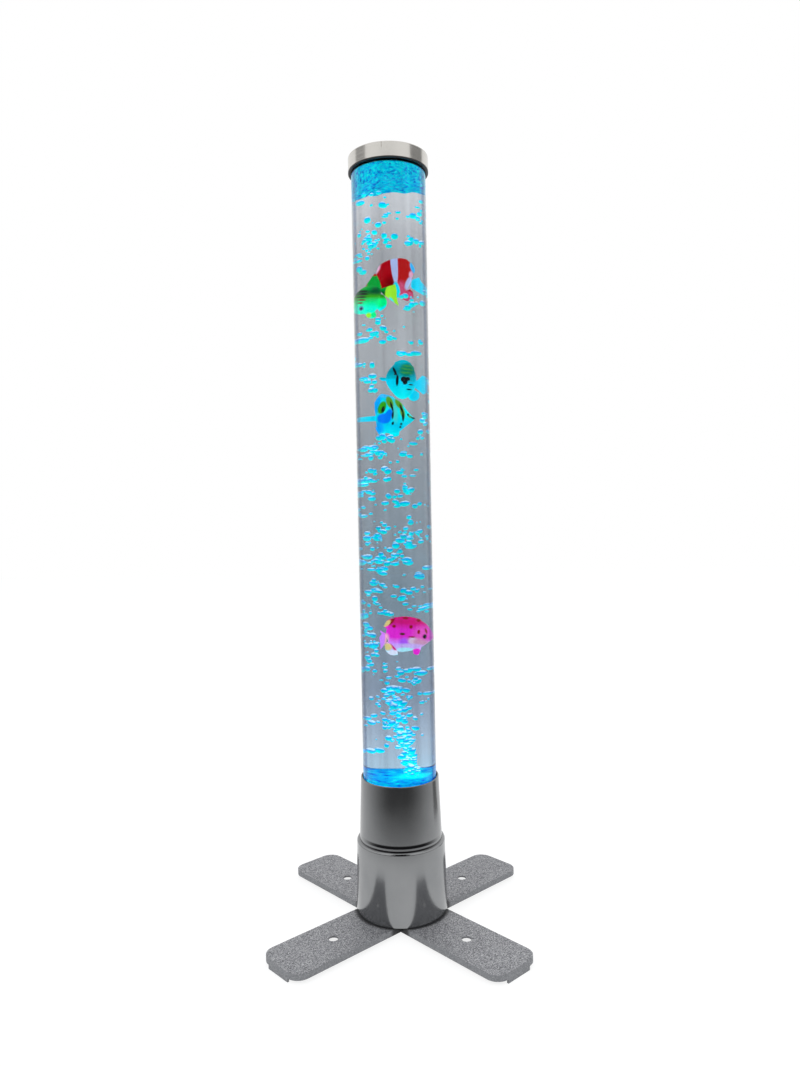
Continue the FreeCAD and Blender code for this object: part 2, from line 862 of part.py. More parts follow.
def pump_case():
    half_length = pump_length / 2
    half_width = pump_width / 2
    case = block(
        (pump_x - half_length, pump_x + half_length), (-half_width, half_width),
        (pump_bottom, pump_rim),
    )
    inside = block(
        (pump_x - half_length + pump_wall, pump_x + half_length - pump_wall),
        (-half_width + pump_wall, half_width - pump_wall), (pump_floor, pump_rim + past),
    )
    case = case.cut(inside)
    for x, y in pump_posts:
        case = case.fuse(cylinder(pump_post_radius, pump_floor - past, pump_rim, x, y))
    core_seat_top = pump_axis_z - core_half_height
    case = case.fuse(block(
        (core_back, core_front), (-core_leg, core_leg), (pump_floor - past, core_seat_top),
    ))
    ear_inner = lever_width / 2 + ear_gap
    for side in (-1, 1):
        y_range = sorted((side * ear_inner, side * (ear_inner + ear_thickness)))
        case = case.fuse(block(
            (pivot_x - ear_length / 2, pivot_x + ear_length / 2), y_range,
            (pump_floor - past, pump_axis_z + ear_rise),
        ))
    pin_end = ear_inner + ear_thickness + past
    case = case.cut(
        rod_along_y(pivot_pin_radius + fit, -pin_end, pin_end, pivot_x, pump_axis_z)
    )
    for x, y in pump_posts:
        hole = board_screw_radius + fit
        case = case.cut(cylinder(hole, pump_rim - screw_bite, pump_rim + past, x, y))
    lead_hole = rod_along_y(
        lead_radius + seat_gap, half_width - pump_wall - past, half_width + past,
        coil_middle_x, pump_axis_z,
    )
    return case.cut(lead_hole).removeSplitter()


def pump_cover():
    half_length = pump_length / 2
    half_width = pump_width / 2
    cover = block(
        (pump_x - half_length, pump_x + half_length), (-half_width, half_width),
        (pump_rim, pump_cover_top),
    )
    bottom = pump_rim - past
    top = pump_cover_top + past
    cover = cover.cut(cylinder(barb_radius + seat_gap, bottom, top, nozzle_x))
    for x, y in pump_posts:
        cover = cover.cut(cylinder(board_screw_radius + fit, bottom, top, x, y))
    return cover


def pump_cover_screws():
    length = pump_cover_thickness + screw_bite - pilot_spare
    return [
        pan_screw(
            x, y, pump_cover_top, length, board_screw_radius, board_head_radius,
            board_head_height, up=False,
        )
        for x, y in pump_posts
    ]


def pump_feet():
    return [
        cylinder(
            pump_foot_radius, plate_top, pump_bottom,
            pump_x + sx * pump_foot_spread_x, sy * pump_foot_spread_y,
        )
        for sx in (-1, 1) for sy in (-1, 1)
    ]


def pump_core():
    y_range = (-core_depth / 2, core_depth / 2)
    low = pump_axis_z - core_half_height
    high = pump_axis_z + core_half_height
    core = block((core_back, core_front), y_range, (low, high))
    gap_x = (core_back + core_yoke, core_front + past)
    for side in (-1, 1):
        near = pump_axis_z + side * core_leg / 2
        far = pump_axis_z + side * (core_half_height - core_outer_leg)
        window_y = (y_range[0] - past, y_range[1] + past)
        core = core.cut(block(gap_x, window_y, sorted((near, far))))
    return core


def pump_coil():
    outer = block(
        (coil_back, coil_end), (-coil_half_width, coil_half_width),
        (pump_axis_z - coil_half_height, pump_axis_z + coil_half_height),
    )
    outer = outer.makeFillet(coil_round, [
        e for e in outer.Edges
        if abs(e.Vertexes[0].Y - e.Vertexes[-1].Y) < 1e-6
        and abs(e.Vertexes[0].Z - e.Vertexes[-1].Z) < 1e-6
    ])
    hole_half = core_depth / 2 + seat_gap
    hole_height = core_leg / 2 + seat_gap
    hole = block(
        (coil_back - past, coil_end + past), (-hole_half, hole_half),
        (pump_axis_z - hole_height, pump_axis_z + hole_height),
    )
    return outer.cut(hole)


def pump_magnet():
    half = magnet_side / 2
    return block(
        (core_front + magnet_gap, lever_end), (-half, half),
        (pump_axis_z - half, pump_axis_z + half),
    )


def pump_lever():
    half_width = lever_width / 2
    half_side = magnet_side / 2
    strip = block(
        (lever_end, pivot_x), (-half_width, half_width),
        (pump_axis_z - lever_thickness / 2, pump_axis_z + lever_thickness / 2),
    )
    plate = block(
        (lever_end, lever_end + lever_plate), (-half_width, half_width),
        (pump_axis_z - half_side, pump_axis_z + half_side),
    )
    hub = rod_along_y(lever_hub_radius, -half_width, half_width, pivot_x, pump_axis_z)
    bore = rod_along_y(
        pivot_pin_radius + fit, -half_width - past, half_width + past, pivot_x, pump_axis_z
    )
    return strip.fuse(plate).fuse(hub).cut(bore).removeSplitter()


def pump_pivot_pin():
    end = lever_width / 2 + ear_gap + ear_thickness
    return rod_along_y(pivot_pin_radius, -end, end, pivot_x, pump_axis_z)


def pump_diaphragm():
    tip = diaphragm_tip_radius
    foot_top = diaphragm_bottom + diaphragm_foot
    inner_rim = diaphragm_radius - diaphragm_rim_width
    cup = revolved([
        (0, diaphragm_bottom), (tip, diaphragm_bottom), (tip, foot_top),
        (diaphragm_radius, diaphragm_top - diaphragm_rim), (diaphragm_radius, diaphragm_top),
        (inner_rim, diaphragm_top), (inner_rim, diaphragm_top - diaphragm_wall),
        (tip, foot_top + diaphragm_wall), (0, foot_top + diaphragm_wall),
    ])
    cup.translate(Vector(nozzle_x, 0, 0))
    return cup


def pump_valve_block():
    half_length = valve_block_length / 2
    half_width = valve_block_width / 2
    body = block(
        (nozzle_x - half_length, nozzle_x + half_length), (-half_width, half_width),
        (diaphragm_top, pump_rim),
    )
    chamber_radius = diaphragm_radius - valve_chamber_inset
    chamber_top = (diaphragm_top + pump_rim) / 2
    chamber = cylinder(chamber_radius, diaphragm_top - past, chamber_top, nozzle_x)
    outlet_top = pump_cover_top + barb_length
    outlet = cylinder(barb_radius, pump_rim - past, outlet_top, nozzle_x)
    bore = cylinder(nozzle_bore_radius, diaphragm_top - past, outlet_top + past, nozzle_x)
    return body.cut(chamber).fuse(outlet).cut(bore).removeSplitter()


# ---- Control board, inlet, button

def control_board():
    half = board_width / 2
    return block((-half, half), (board_y, board_back), (board_bottom, board_top))


def board_connectors():
    half = connector_size / 2
    return [
        block(
            (x - half, x + half), (board_y - connector_size, board_y),
            (connector_z - connector_size, connector_z),
        )
        for x in (led_connector_x, pump_connector_x)
    ]


def board_parts():
    """Controller chip, driver chip and two capacitors on the front of the board."""
    chips = [
        block(
            (x - side / 2, x + side / 2), (board_y - height, board_y),
            (control_z - side / 2, control_z + side / 2),
        )
        for x, side, height in (
            (controller_x, controller_side, controller_height),
            (driver_x, driver_side, driver_height),
        )
    ]
    last_x = board_width / 2 - guide_overlap - capacitor_radius - seat_gap
    capacitors = [
        rod_along_y(capacitor_radius, board_y - capacitor_length, board_y, x, control_z)
        for x in (last_x - 2 * capacitor_radius - capacitor_gap, last_x)
    ]
    return chips + capacitors


def power_inlet():
    half = inlet_width / 2
    body_front = board_back + inlet_body_length
    body = block(
        (inlet_x - half, inlet_x + half), (board_back, body_front),
        (control_z - inlet_height / 2, control_z + inlet_height / 2),
    )
    bore_end = inlet_face_y - inlet_bore_depth
    nose = rod_along_y(inlet_nose_radius, body_front - past, inlet_face_y, inlet_x, control_z)
    bore = rod_along_y(inlet_bore_radius, bore_end, inlet_face_y + past, inlet_x, control_z)
    pin_hole = rod_along_y(
        inlet_pin_radius + fit, bore_end - pilot_spare, inlet_face_y, inlet_x, control_z
    )
    return body.fuse(nose).cut(bore).cut(pin_hole).removeSplitter()


def inlet_pin():
    start = inlet_face_y - inlet_bore_depth - pilot_spare + fit
    end = inlet_face_y - inlet_pin_recess
    return rod_along_y(inlet_pin_radius, start, end, inlet_x, control_z)


def mode_button():
    flange_front = button_flange_y + button_flange_thickness
    stem_end = board_back + switch_body + plunger_reach
    cap = rod_along_y(button_radius, button_flange_y, button_reach, button_x, control_z)
    cap = cap.makeFillet(button_round, [
        e for e in cap.Edges
        if isinstance(e.Curve, Part.Circle) and abs(e.Curve.Center.y - button_reach) < 1e-3
    ])
    flange = rod_along_y(
        button_flange_radius, button_flange_y, flange_front, button_x, control_z
    )
    stem = rod_along_y(button_stem_radius, stem_end, flange_front, button_x, control_z)
    return cap.fuse(flange).fuse(stem).removeSplitter()


def switch_plunger():
    top = board_back + switch_body + plunger_reach
    start = board_back + switch_body - seat_gap
    return rod_along_y(plunger_radius, start, top, button_x, control_z)


def button_switch():
    half = switch_side / 2
    body = block(
        (button_x - half, button_x + half), (board_back, board_back + switch_body),
        (control_z - half, control_z + half),
    )
    top = board_back + switch_body + past
    bore = rod_along_y(plunger_radius + fit, plunger_end - seat_gap, top, button_x, control_z)
    return body.cut(bore)


# ---- Leads inside the base

def led_lead():
    """From the underside of the light board through the deck to its connector."""
    return lead([
        (led_lead_x, led_lead_y - 6, led_board_bottom),
        (led_lead_x, led_lead_y - 6, led_board_bottom - 22),
        (led_lead_x, led_lead_y, led_board_bottom - 48),
        (led_lead_x, led_lead_y, deck_bottom - 8),
        (led_connector_x, connector_y, connector_z + 20),
        (led_connector_x, connector_y, connector_z),
    ])


def pump_lead():
    """From the coil through the side of the pump to its connector."""
    return lead([
        (coil_middle_x, coil_half_width, pump_axis_z),
        (coil_middle_x, coil_half_width + 12, pump_axis_z),
        (coil_middle_x + 5, connector_y - 9, pump_axis_z + 14),
        (pump_connector_x - 8, connector_y - 6, connector_z + 12),
        (pump_connector_x, connector_y, connector_z + 12),
        (pump_connector_x, connector_y, connector_z),
    ])


# ---- Fish

def fin(points):
    """A flat fin from its outline in x and z, centred on y = 0."""
    half = fin_thickness / 2
    outline = Part.makePolygon([Vector(x, -half, z) for x, z in points + points[:1]])
    return Part.Face(outline).extrude(Vector(0, fin_thickness, 0))


def round_fin(x, z, radius_x, radius_z):
    near_side = -fin_thickness / 2
    centre = Vector(x, near_side, z)
    radii = [Vector(radius_x, 0, 0), Vector(0, 0, radius_z)]
    longer, shorter = sorted(radii, key=lambda radius: -radius.Length)
    ellipse = Part.Ellipse(centre + longer, centre + shorter, centre)
    return Part.Face(Part.Wire(ellipse.toShape())).extrude(Vector(0, fin_thickness, 0))


def fish_body(length, height, thickness):
    """A deep flat body with its nose at -x: its side outline cut from a round lens."""
    half = height / 2
    upper = [
        (-0.5 * length, 0), (-0.42 * length, 0.36 * half), (-0.06 * length, half),
        (0.28 * length, 0.7 * half), (0.5 * length, 0.18 * half),
    ]
    edges = []
    for side in (1, -1):
        curve = Part.BSplineCurve()
        curve.interpolate([Vector(x, -thickness, side * z) for x, z in upper])
        edges.append(curve.toShape())
    root_x = 0.5 * length
    root_z = 0.18 * half
    edges.append(Part.LineSegment(
        Vector(root_x, -thickness, root_z), Vector(root_x, -thickness, -root_z)
    ).toShape())
    outline = Part.Wire(Part.__sortEdges__(edges))
    body = Part.Face(outline).extrude(Vector(0, 2 * thickness, 0))
    reach = max(length, height) / 2
    lens_radius = reach ** 2 / (thickness - fin_thickness)
    offset = lens_radius - thickness / 2
    for side in (-1, 1):
        body = body.common(Part.makeSphere(lens_radius, Vector(0, side * offset, 0)))
    return body


def fish(centre, facing, pitch, length, height, thickness, tail, dorsal, anal):
    """One figure. Tail is length and height; dorsal is place and rise; anal is place,
    drop and half length. Places are shares of the body's length behind its middle."""
    half = height / 2
    tail_root = 0.44 * length
    tail_end = 0.5 * length + tail[0]
    shape = fish_body(length, height, thickness)
    shape = shape.fuse(fin([
        (tail_root, -0.12 * half), (tail_root, 0.12 * half), (tail_end, tail[1] / 2),
        (tail_end - 0.15 * tail[0], 0), (tail_end, -tail[1] / 2),
    ]))
    dorsal_x = dorsal[0] * length
    shape = shape.fuse(fin([
        (dorsal_x - 0.3 * length, 0.7 * half), (dorsal_x - 0.05 * length, half),
        (dorsal_x + 0.06 * length, half + dorsal[1]),
        (dorsal_x + 0.16 * length, 0.7 * half + 0.7 * dorsal[1]),
        (dorsal_x + 0.2 * length, 0.5 * half),
    ]))
    shape = shape.fuse(round_fin(
        anal[0] * length, -0.62 * half, anal[2], anal[1]
    ))
    if facing > 0:
        shape.rotate(Vector(0, 0, 0), Vector(0, 0, 1), 180)
    shape.rotate(Vector(0, 0, 0), Vector(0, 1, 0), -facing * pitch)
    across, depth, rise = centre
    column_height = skirt_bottom - floor_top
    shape.translate(Vector(
        across * bore_radius, depth * bore_radius, floor_top + rise * column_height
    ))
    return shape


# ---- Every sub-part by name. A list of solids is one node of separate solids.

parts = {
    "foot_cross": foot_cross(),
    "foot_screws": foot_screws(),
    "bottom_plate": bottom_plate(),
    "shroud_screws": shroud_screws(),
    "base_shroud_lower": base_shroud_lower(),
    "mid_deck": mid_deck(),
    "deck_screws": deck_screws(),
    "base_shroud_upper": base_shroud_upper(),
    "tube_collar": tube_collar(),
    "tube_socket": tube_socket(),
    "socket_screws": socket_screws(),
    "tube_gasket": tube_gasket(),
    "led_board": led_board(),
    "led_chips": led_chips(),
    "led_board_screws": led_board_screws(),
    "acrylic_tube": acrylic_tube(),
    "tube_floor": tube_floor(),
    "air_nozzle": air_nozzle(),
    "nozzle_washer": nozzle_washer(),
    "nozzle_nut": nozzle_nut(),
    "cap_shell": cap_shell(),
    "lid_plug": lid_plug(),
    "lid_seal": lid_seal(),
    "air_hose_lower": air_hose_lower(),
    "check_valve": check_valve(),
    "air_hose_upper": air_hose_upper(),
    "pump_case": pump_case(),
    "pump_cover": pump_cover(),
    "pump_cover_screws": pump_cover_screws(),
    "pump_feet": pump_feet(),
    "pump_core": pump_core(),
    "pump_coil": pump_coil(),
    "pump_lever": pump_lever(),
    "pump_magnet": pump_magnet(),
    "pump_pivot_pin": pump_pivot_pin(),
    "pump_diaphragm": pump_diaphragm(),
    "pump_valve_block": pump_valve_block(),
    "control_board": control_board(),
    "board_connectors": board_connectors(),
    "board_parts": board_parts(),
    "power_inlet": power_inlet(),
    "inlet_pin": inlet_pin(),
    "mode_button": mode_button(),
    "switch_plunger": switch_plunger(),
    "button_switch": button_switch(),
    "led_lead": led_lead(),
    "pump_lead": pump_lead(),
}
for name, sizes in fish_sizes.items():
    parts[name] = fish(**sizes)

os.makedirs("parts", exist_ok=True)
for name, shape in parts.items():
    solid = Part.makeCompound(shape) if isinstance(shape, list) else shape
    solid.exportStep("parts/" + name + ".step")
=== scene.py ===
import json
import math
import random

import bmesh
import bpy
from mathutils import Euler, Matrix, Vector


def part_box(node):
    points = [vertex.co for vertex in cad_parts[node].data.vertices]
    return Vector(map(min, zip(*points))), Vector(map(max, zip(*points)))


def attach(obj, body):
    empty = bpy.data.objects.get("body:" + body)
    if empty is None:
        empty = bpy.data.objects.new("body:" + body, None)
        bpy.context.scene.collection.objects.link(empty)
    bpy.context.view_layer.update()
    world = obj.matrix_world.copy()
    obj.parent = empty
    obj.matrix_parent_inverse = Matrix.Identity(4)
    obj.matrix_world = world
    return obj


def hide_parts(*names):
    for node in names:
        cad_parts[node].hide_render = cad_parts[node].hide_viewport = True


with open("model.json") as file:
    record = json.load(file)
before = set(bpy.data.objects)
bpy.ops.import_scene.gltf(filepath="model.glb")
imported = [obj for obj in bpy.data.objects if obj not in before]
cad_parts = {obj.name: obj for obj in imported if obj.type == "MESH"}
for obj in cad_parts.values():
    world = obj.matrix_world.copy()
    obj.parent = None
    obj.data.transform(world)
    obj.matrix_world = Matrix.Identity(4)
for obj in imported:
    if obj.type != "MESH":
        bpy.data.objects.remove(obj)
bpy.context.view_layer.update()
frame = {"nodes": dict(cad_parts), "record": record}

mm = 0.001

# ---- Places read from the frame, in metres

tube_low, tube_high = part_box("acrylic_tube")
disc_low, disc_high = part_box("tube_floor")
plug_low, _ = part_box("lid_plug")
nozzle_low, nozzle_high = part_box("air_nozzle")
_, cap_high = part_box("cap_shell")
lower_low, lower_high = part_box("base_shroud_lower")
tube_radius = (tube_high.x - tube_low.x) / 2
bore_radius = (disc_high.x - disc_low.x) / 2
housing_radius = (lower_high.x - lower_low.x) / 2
nozzle_x = (nozzle_low.x + nozzle_high.x) / 2

# The water reaches this far into the tube and its floor, so that no air shows between them
contact = 0.05 * mm
water_radius = bore_radius + contact
water_bottom = disc_high.z - contact
water_top = plug_low.z - 1.0 * mm
foam_depth = 14 * mm


# ---- Camera: as far away and as high as the photograph's, leaning like it

camera_azimuth = math.radians(2.74)
camera_distance = 1.088
camera_height = 0.5568
camera_pitch = math.radians(-1.606)
camera_roll = math.radians(-1.1)
camera_turn = math.radians(0.35)
image_height = 1067
focal_pixels = 800
sensor_size = 36.0


def make_camera():
    """The camera that the part is rendered from at rest."""
    data = bpy.data.cameras.new("camera")
    data.sensor_width = sensor_size
    data.lens = sensor_size * focal_pixels / image_height
    data.clip_start = 0.01
    camera = bpy.data.objects.new("camera", data)
    bpy.context.scene.collection.objects.link(camera)
    place = Vector((
        camera_distance * math.sin(camera_azimuth),
        -camera_distance * math.cos(camera_azimuth),
        camera_height,
    ))
    turn = Euler((math.pi / 2 + camera_pitch, 0, camera_azimuth - camera_turn)).to_matrix()
    roll = Matrix.Rotation(camera_roll, 3, "Z")
    camera.matrix_world = Matrix.Translation(place) @ (turn @ roll).to_4x4()
    bpy.context.scene.camera = camera


# ---- Shader helpers

def add(tree, kind, inputs=None, **settings):
    """A shader node with its settings, and its inputs set or linked."""
    node = tree.nodes.new("ShaderNode" + kind)
    for name, value in settings.items():
        setattr(node, name, value)
    for name, value in (inputs or {}).items():
        if isinstance(value, bpy.types.NodeSocket):
            tree.links.new(value, node.inputs[name])
        else:
            node.inputs[name].default_value = value
    return node


def blended(tree, share, first, second):
    """Colour from first to second by a share. Each may be fixed or another node's output."""
    mix = add(tree, "Mix", data_type="RGBA")
    for index, value in ((0, share), (6, first), (7, second)):
        if isinstance(value, bpy.types.NodeSocket):
            tree.links.new(value, mix.inputs[index])
        elif index == 0:
            mix.inputs[index].default_value = value
        else:
            mix.inputs[index].default_value = (*value[:3], 1.0)
    return mix.outputs[2]


def ramp(tree, share, stops):
    """A colour ramp from a list of (position, colour)."""
    node = add(tree, "ValToRGB", {"Fac": share})
    elements = node.color_ramp.elements
    while len(elements) < len(stops):
        elements.new(0.5)
    for element, (position, colour) in zip(elements, stops):
        element.position = position
        element.color = (*colour, 1.0)
    return node.outputs["Color"]


def fitted(tree, value, low, high, new_low=0.0, new_high=1.0, smooth=False):
    """A value moved from one range to another and kept inside it."""
    kind = "SMOOTHSTEP" if smooth else "LINEAR"
    limits = {"From Min": low, "From Max": high, "To Min": new_low, "To Max": new_high}
    node = add(tree, "MapRange", {"Value": value, **limits}, interpolation_type=kind)
    return node.outputs["Result"]


def greys(stops):
    """Stops of a ramp, with each shade made a colour."""
    return [(position, (shade, shade, shade)) for position, shade in stops]


def worked(tree, operation, *values):
    """The result of a sum. Each value may be fixed or another node's output."""
    return add(tree, "Math", dict(enumerate(values)), operation=operation).outputs[0]


def mix_shaders(tree, share, first, second, result="Material Output"):
    """Show the first shader, and the second by a share."""
    mix = add(tree, "MixShader", {0: share, 1: first.outputs[0], 2: second.outputs[0]})
    tree.links.new(mix.outputs[0], tree.nodes[result].inputs["Surface"])


def noise(tree, place, size, detail):
    """Random soft clouds of a size in metres."""
    clouds = add(tree, "TexNoise", {"Vector": place, "Scale": 1 / size, "Detail": detail})
    return clouds.outputs["Fac"]


def own_place(tree):
    """The place on the piece, in metres."""
    return add(tree, "TexCoord").outputs["Object"]


def own_parts(tree):
    """The place on the piece as three outputs, X, Y and Z."""
    return add(tree, "SeparateXYZ", {"Vector": own_place(tree)}).outputs


def facing_up(tree):
    """How far the surface faces up, from -1 to 1."""
    normal = add(tree, "NewGeometry").outputs["Normal"]
    return add(tree, "SeparateXYZ", {"Vector": normal}).outputs["Z"]


def edge_on(tree):
    """0 where the surface is seen square on, 1 where it is seen edge on."""
    return add(tree, "LayerWeight", {"Blend": 0.5}).outputs["Facing"]


def object_place(tree, scale=(1.0, 1.0, 1.0)):
    """The place on the piece, stretched by a scale along each axis."""
    return add(tree, "Mapping", {"Vector": own_place(tree), "Scale": scale}).outputs["Vector"]


def axis_distance(tree):
    """The distance from the object's upright axis."""
    parts = own_parts(tree)
    flat = add(tree, "CombineXYZ", {"X": parts["X"], "Y": parts["Y"]})
    return add(tree, "VectorMath", {0: flat.outputs[0]}, operation="LENGTH").outputs["Value"]


def new_group(name, inputs, outputs):
    """An empty node group. Inputs are (name, default); outputs are names."""
    group = bpy.data.node_groups.new(name, "ShaderNodeTree")
    for label, default in inputs:
        socket = group.interface.new_socket(label, in_out="INPUT", socket_type="NodeSocketFloat")
        socket.default_value = default
    for label in outputs:
        group.interface.new_socket(label, in_out="OUTPUT", socket_type="NodeSocketFloat")
    return group, group.nodes.new("NodeGroupInput"), group.nodes.new("NodeGroupOutput")


def use_group(tree, group, **values):
    """A node that uses a group, with the group's inputs set."""
    node = add(tree, "Group")
    node.node_tree = group
    for name, value in values.items():
        node.inputs[name.capitalize()].default_value = value
    return node


def make_cloudiness():
    """Soft uneven patches, as of handling and thin dust. Size is in metres."""
    group, given, result = new_group("cloudiness", [("Size", 0.02)], ["Mask"])
    clouds = add(group, "TexNoise", {
        "Vector": object_place(group), "Detail": 4.0, "Roughness": 0.6,
        "Scale": worked(group, "DIVIDE", 1.0, given.outputs["Size"]),
    })
    mask = fitted(group, clouds.outputs["Fac"], 0.3, 0.7)
    group.links.new(mask, result.inputs["Mask"])
    return group


def make_grain():
    """The fine skin of moulded or powder-coated parts. Size is in metres."""
    group, given, result = new_group("grain", [("Size", 0.0004)], ["Height"])
    clouds = add(group, "TexNoise", {
        "Vector": object_place(group), "Detail": 2.0,
        "Scale": worked(group, "DIVIDE", 1.0, given.outputs["Size"]),
    })
    group.links.new(clouds.outputs["Fac"], result.inputs["Height"])
    return group


def make_brushing():
    """Fine lines around Z on upright faces and in rings on level ones."""
    group, given, result = new_group("brushing", [("Size", 0.0003)], ["Lines"])
    parts = own_parts(group)
    across = worked(group, "ADD", axis_distance(group), parts["Z"])
    around = worked(group, "ARCTAN2", parts["Y"], parts["X"])
    fine = worked(group, "DIVIDE", across, given.outputs["Size"])
    slow = worked(group, "MULTIPLY", around, 1.5)
    line = add(group, "CombineXYZ", {"X": fine, "Y": slow})
    group.links.new(noise(group, line.outputs[0], 1.0, 3.0), result.inputs["Lines"])
    return group


cloudiness = make_cloudiness()
grain = make_grain()
brushing = make_brushing()


def new_material(name):
    """A new material, its node tree and its main shader."""
    material = bpy.data.materials.new(name)
    material.use_nodes = True
    tree = material.node_tree
    return material, tree, tree.nodes["Principled BSDF"]


def set_inputs(shader, **values):
    """Set or link a shader's inputs by their names in small letters."""
    for name, value in values.items():
        socket = shader.inputs[name.replace("_", " ").title().replace("Ior", "IOR")]
        if isinstance(value, bpy.types.NodeSocket):
            shader.id_data.links.new(value, socket)
        else:
            socket.default_value = value


def bump(tree, shader, height, strength, depth):
    """Relief from a height of 0 to 1, with its depth in metres."""
    node = add(tree, "Bump", {"Height": height, "Strength": strength, "Distance": depth})
    tree.links.new(node.outputs["Normal"], shader.inputs["Normal"])


# The fine skin of plain finishes, and how far their soft patches differ from the colour
skin_size = 0.5 * mm
skin_depth = 0.02 * mm
patch_contrast = 0.12


def plain_finish(name, colour, rough, metallic=0.0, patch=0.03):
    """A moulded, painted or plated finish with soft patches and a fine skin."""
    material, tree, shader = new_material(name)
    patches = use_group(tree, cloudiness, size=patch).outputs["Mask"]
    darker = tuple(part * (1 - patch_contrast) for part in colour)
    lighter = tuple(min(1.0, part * (1 + patch_contrast) + 0.01) for part in colour)
    set_inputs(
        shader, base_color=blended(tree, patches, darker, lighter), metallic=metallic,
        roughness=fitted(tree, patches, 0.0, 1.0, rough * 0.85, min(1.0, rough * 1.15)),
        specular_ior_level=0.3,
    )
    bump(tree, shader, use_group(tree, grain, size=skin_size).outputs["Height"], 0.5, skin_depth)
    return material


# ---- Finishes of the foot, the housing and the cap

flake_size = 1.0 * mm

# How far the painted shadow of the housing reaches over the foot
foot_shadow = 7 * mm


def silver_texture():
    """Coarse metal-flake paint on the top of the foot, smoother on its upright sides, with a
    painted shadow of the housing around its middle.
    """
    material, tree, shader = new_material("silver_texture")
    place = object_place(tree)
    cells = add(tree, "TexVoronoi", {"Vector": place, "Scale": 1 / flake_size})
    shade = add(tree, "SeparateColor", {"Color": cells.outputs["Color"]}).outputs["Red"]
    mottle = worked(tree, "MULTIPLY", shade, noise(tree, place, flake_size / 1.4, 3.0))
    speckle = ramp(tree, mottle, [
        (0.0, (0.10, 0.10, 0.11)), (0.18, (0.27, 0.27, 0.285)), (0.42, (0.40, 0.40, 0.415)),
        (0.62, (0.85, 0.85, 0.86)),
    ])
    topside = fitted(tree, facing_up(tree), 0.3, 0.8)
    soft = blended(tree, 0.25, (0.235, 0.24, 0.25), speckle)
    paint = blended(tree, topside, soft, speckle)
    # Painted shadow: close to the housing the foot's paint darkens to almost black
    shadow_edge = housing_radius + foot_shadow
    painted_shadow = fitted(tree, axis_distance(tree), housing_radius, shadow_edge, 0.9, 0.0, smooth=True)
    paint = blended(tree, painted_shadow, paint, (0.01, 0.01, 0.011))
    roughness = fitted(tree, mottle, 0.1, 0.7, 0.62, 0.36)
    set_inputs(shader, base_color=paint, roughness=roughness, metallic=0.35)
    bump(tree, shader, worked(tree, "MULTIPLY", mottle, topside), 0.7, 0.25 * mm)
    return material


# The painted dark reflections and shade at the joint of the housing's halves lie within this of the
# joint
joint_shade_reach = 8 * mm


def silver_housing():
    """Satin gunmetal with faint patches, and painted dark reflections and shade in bands where its
    two halves meet.
    """
    material, tree, shader = new_material("silver_housing")
    patches = use_group(tree, cloudiness, size=0.05).outputs["Mask"]
    colour = blended(tree, patches, (0.245, 0.251, 0.257), (0.282, 0.287, 0.292))
    joint_low = lower_high.z - joint_shade_reach
    joint_high = lower_high.z + joint_shade_reach
    # Painted reflection and shade: two dark bands at the joint, strongest where the surface is seen
    # square on
    lines = ramp(tree, fitted(tree, own_parts(tree)["Z"], joint_low, joint_high), greys([
        (0.0, 0), (0.13, 0), (0.17, 0.96), (0.25, 0.96), (0.29, 0), (0.40, 0), (0.44, 0.97),
        (0.63, 0.97), (0.72, 0),
    ]))
    front = fitted(tree, edge_on(tree), 0.2, 0.62, 1.0, 0.12, smooth=True)
    shade = worked(tree, "MULTIPLY", lines, front)
    colour = blended(tree, shade, colour, (0.004, 0.004, 0.005))
    roughness = fitted(tree, patches, 0.0, 1.0, 0.15, 0.19)
    set_inputs(shader, base_color=colour, roughness=roughness, metallic=1.0)
    bump(tree, shader, use_group(tree, grain, size=0.6 * mm).outputs["Height"], 0.3, 0.01 * mm)
    return material


# The seam of the cap: its place round the axis, its half width and soft edge in radians,
# and how far below the top it ends and starts to fade
seam_angle = math.radians(-96)
seam_width = 0.006
seam_edge = 0.016
seam_end = 9 * mm
seam_fade = 7 * mm


def brushed_cap():
    """Warm brushed stainless sheet, with the fine upright seam of its ring."""
    material, tree, shader = new_material("brushed_cap")
    lines = use_group(tree, brushing, size=0.35 * mm).outputs["Lines"]
    tone = ramp(tree, lines, [(0.25, (0.59, 0.572, 0.535)), (0.75, (0.68, 0.662, 0.628))])
    parts = own_parts(tree)
    around = worked(tree, "ARCTAN2", parts["Y"], parts["X"])
    away = worked(tree, "ABSOLUTE", worked(tree, "SUBTRACT", around, seam_angle))
    line = fitted(tree, away, seam_width, seam_edge, 0.7, 0.0)
    top = fitted(tree, parts["Z"], cap_high.z - seam_end, cap_high.z - seam_fade)
    seam = worked(tree, "MULTIPLY", line, top)
    colour = blended(tree, seam, tone, (0.42, 0.40, 0.37))
    roughness = fitted(tree, lines, 0.3, 0.7, 0.14, 0.24)
    set_inputs(shader, base_color=colour, roughness=roughness, metallic=1.0)
    bump(tree, shader, lines, 0.12, 0.02 * mm)
    return material


# ---- Clear and lit finishes

acrylic_ior = 1.49
water_ior = 1.33


def glassy(name, tint, ior, shadow_tint, gloss):
    """Clear material that lets the lamps' light through to what it holds."""
    material, tree, shader = new_material(name)
    set_inputs(
        shader, base_color=(*tint, 1.0), roughness=0.0, ior=ior, transmission_weight=1.0,
        specular_tint=(gloss, gloss, gloss, 1.0),
    )
    clear = add(tree, "BsdfTransparent", {"Color": (*shadow_tint, 1.0)})
    in_shadow = add(tree, "LightPath").outputs["Is Shadow Ray"]
    mix_shaders(tree, in_shadow, shader, clear)
    return material, tree, shader


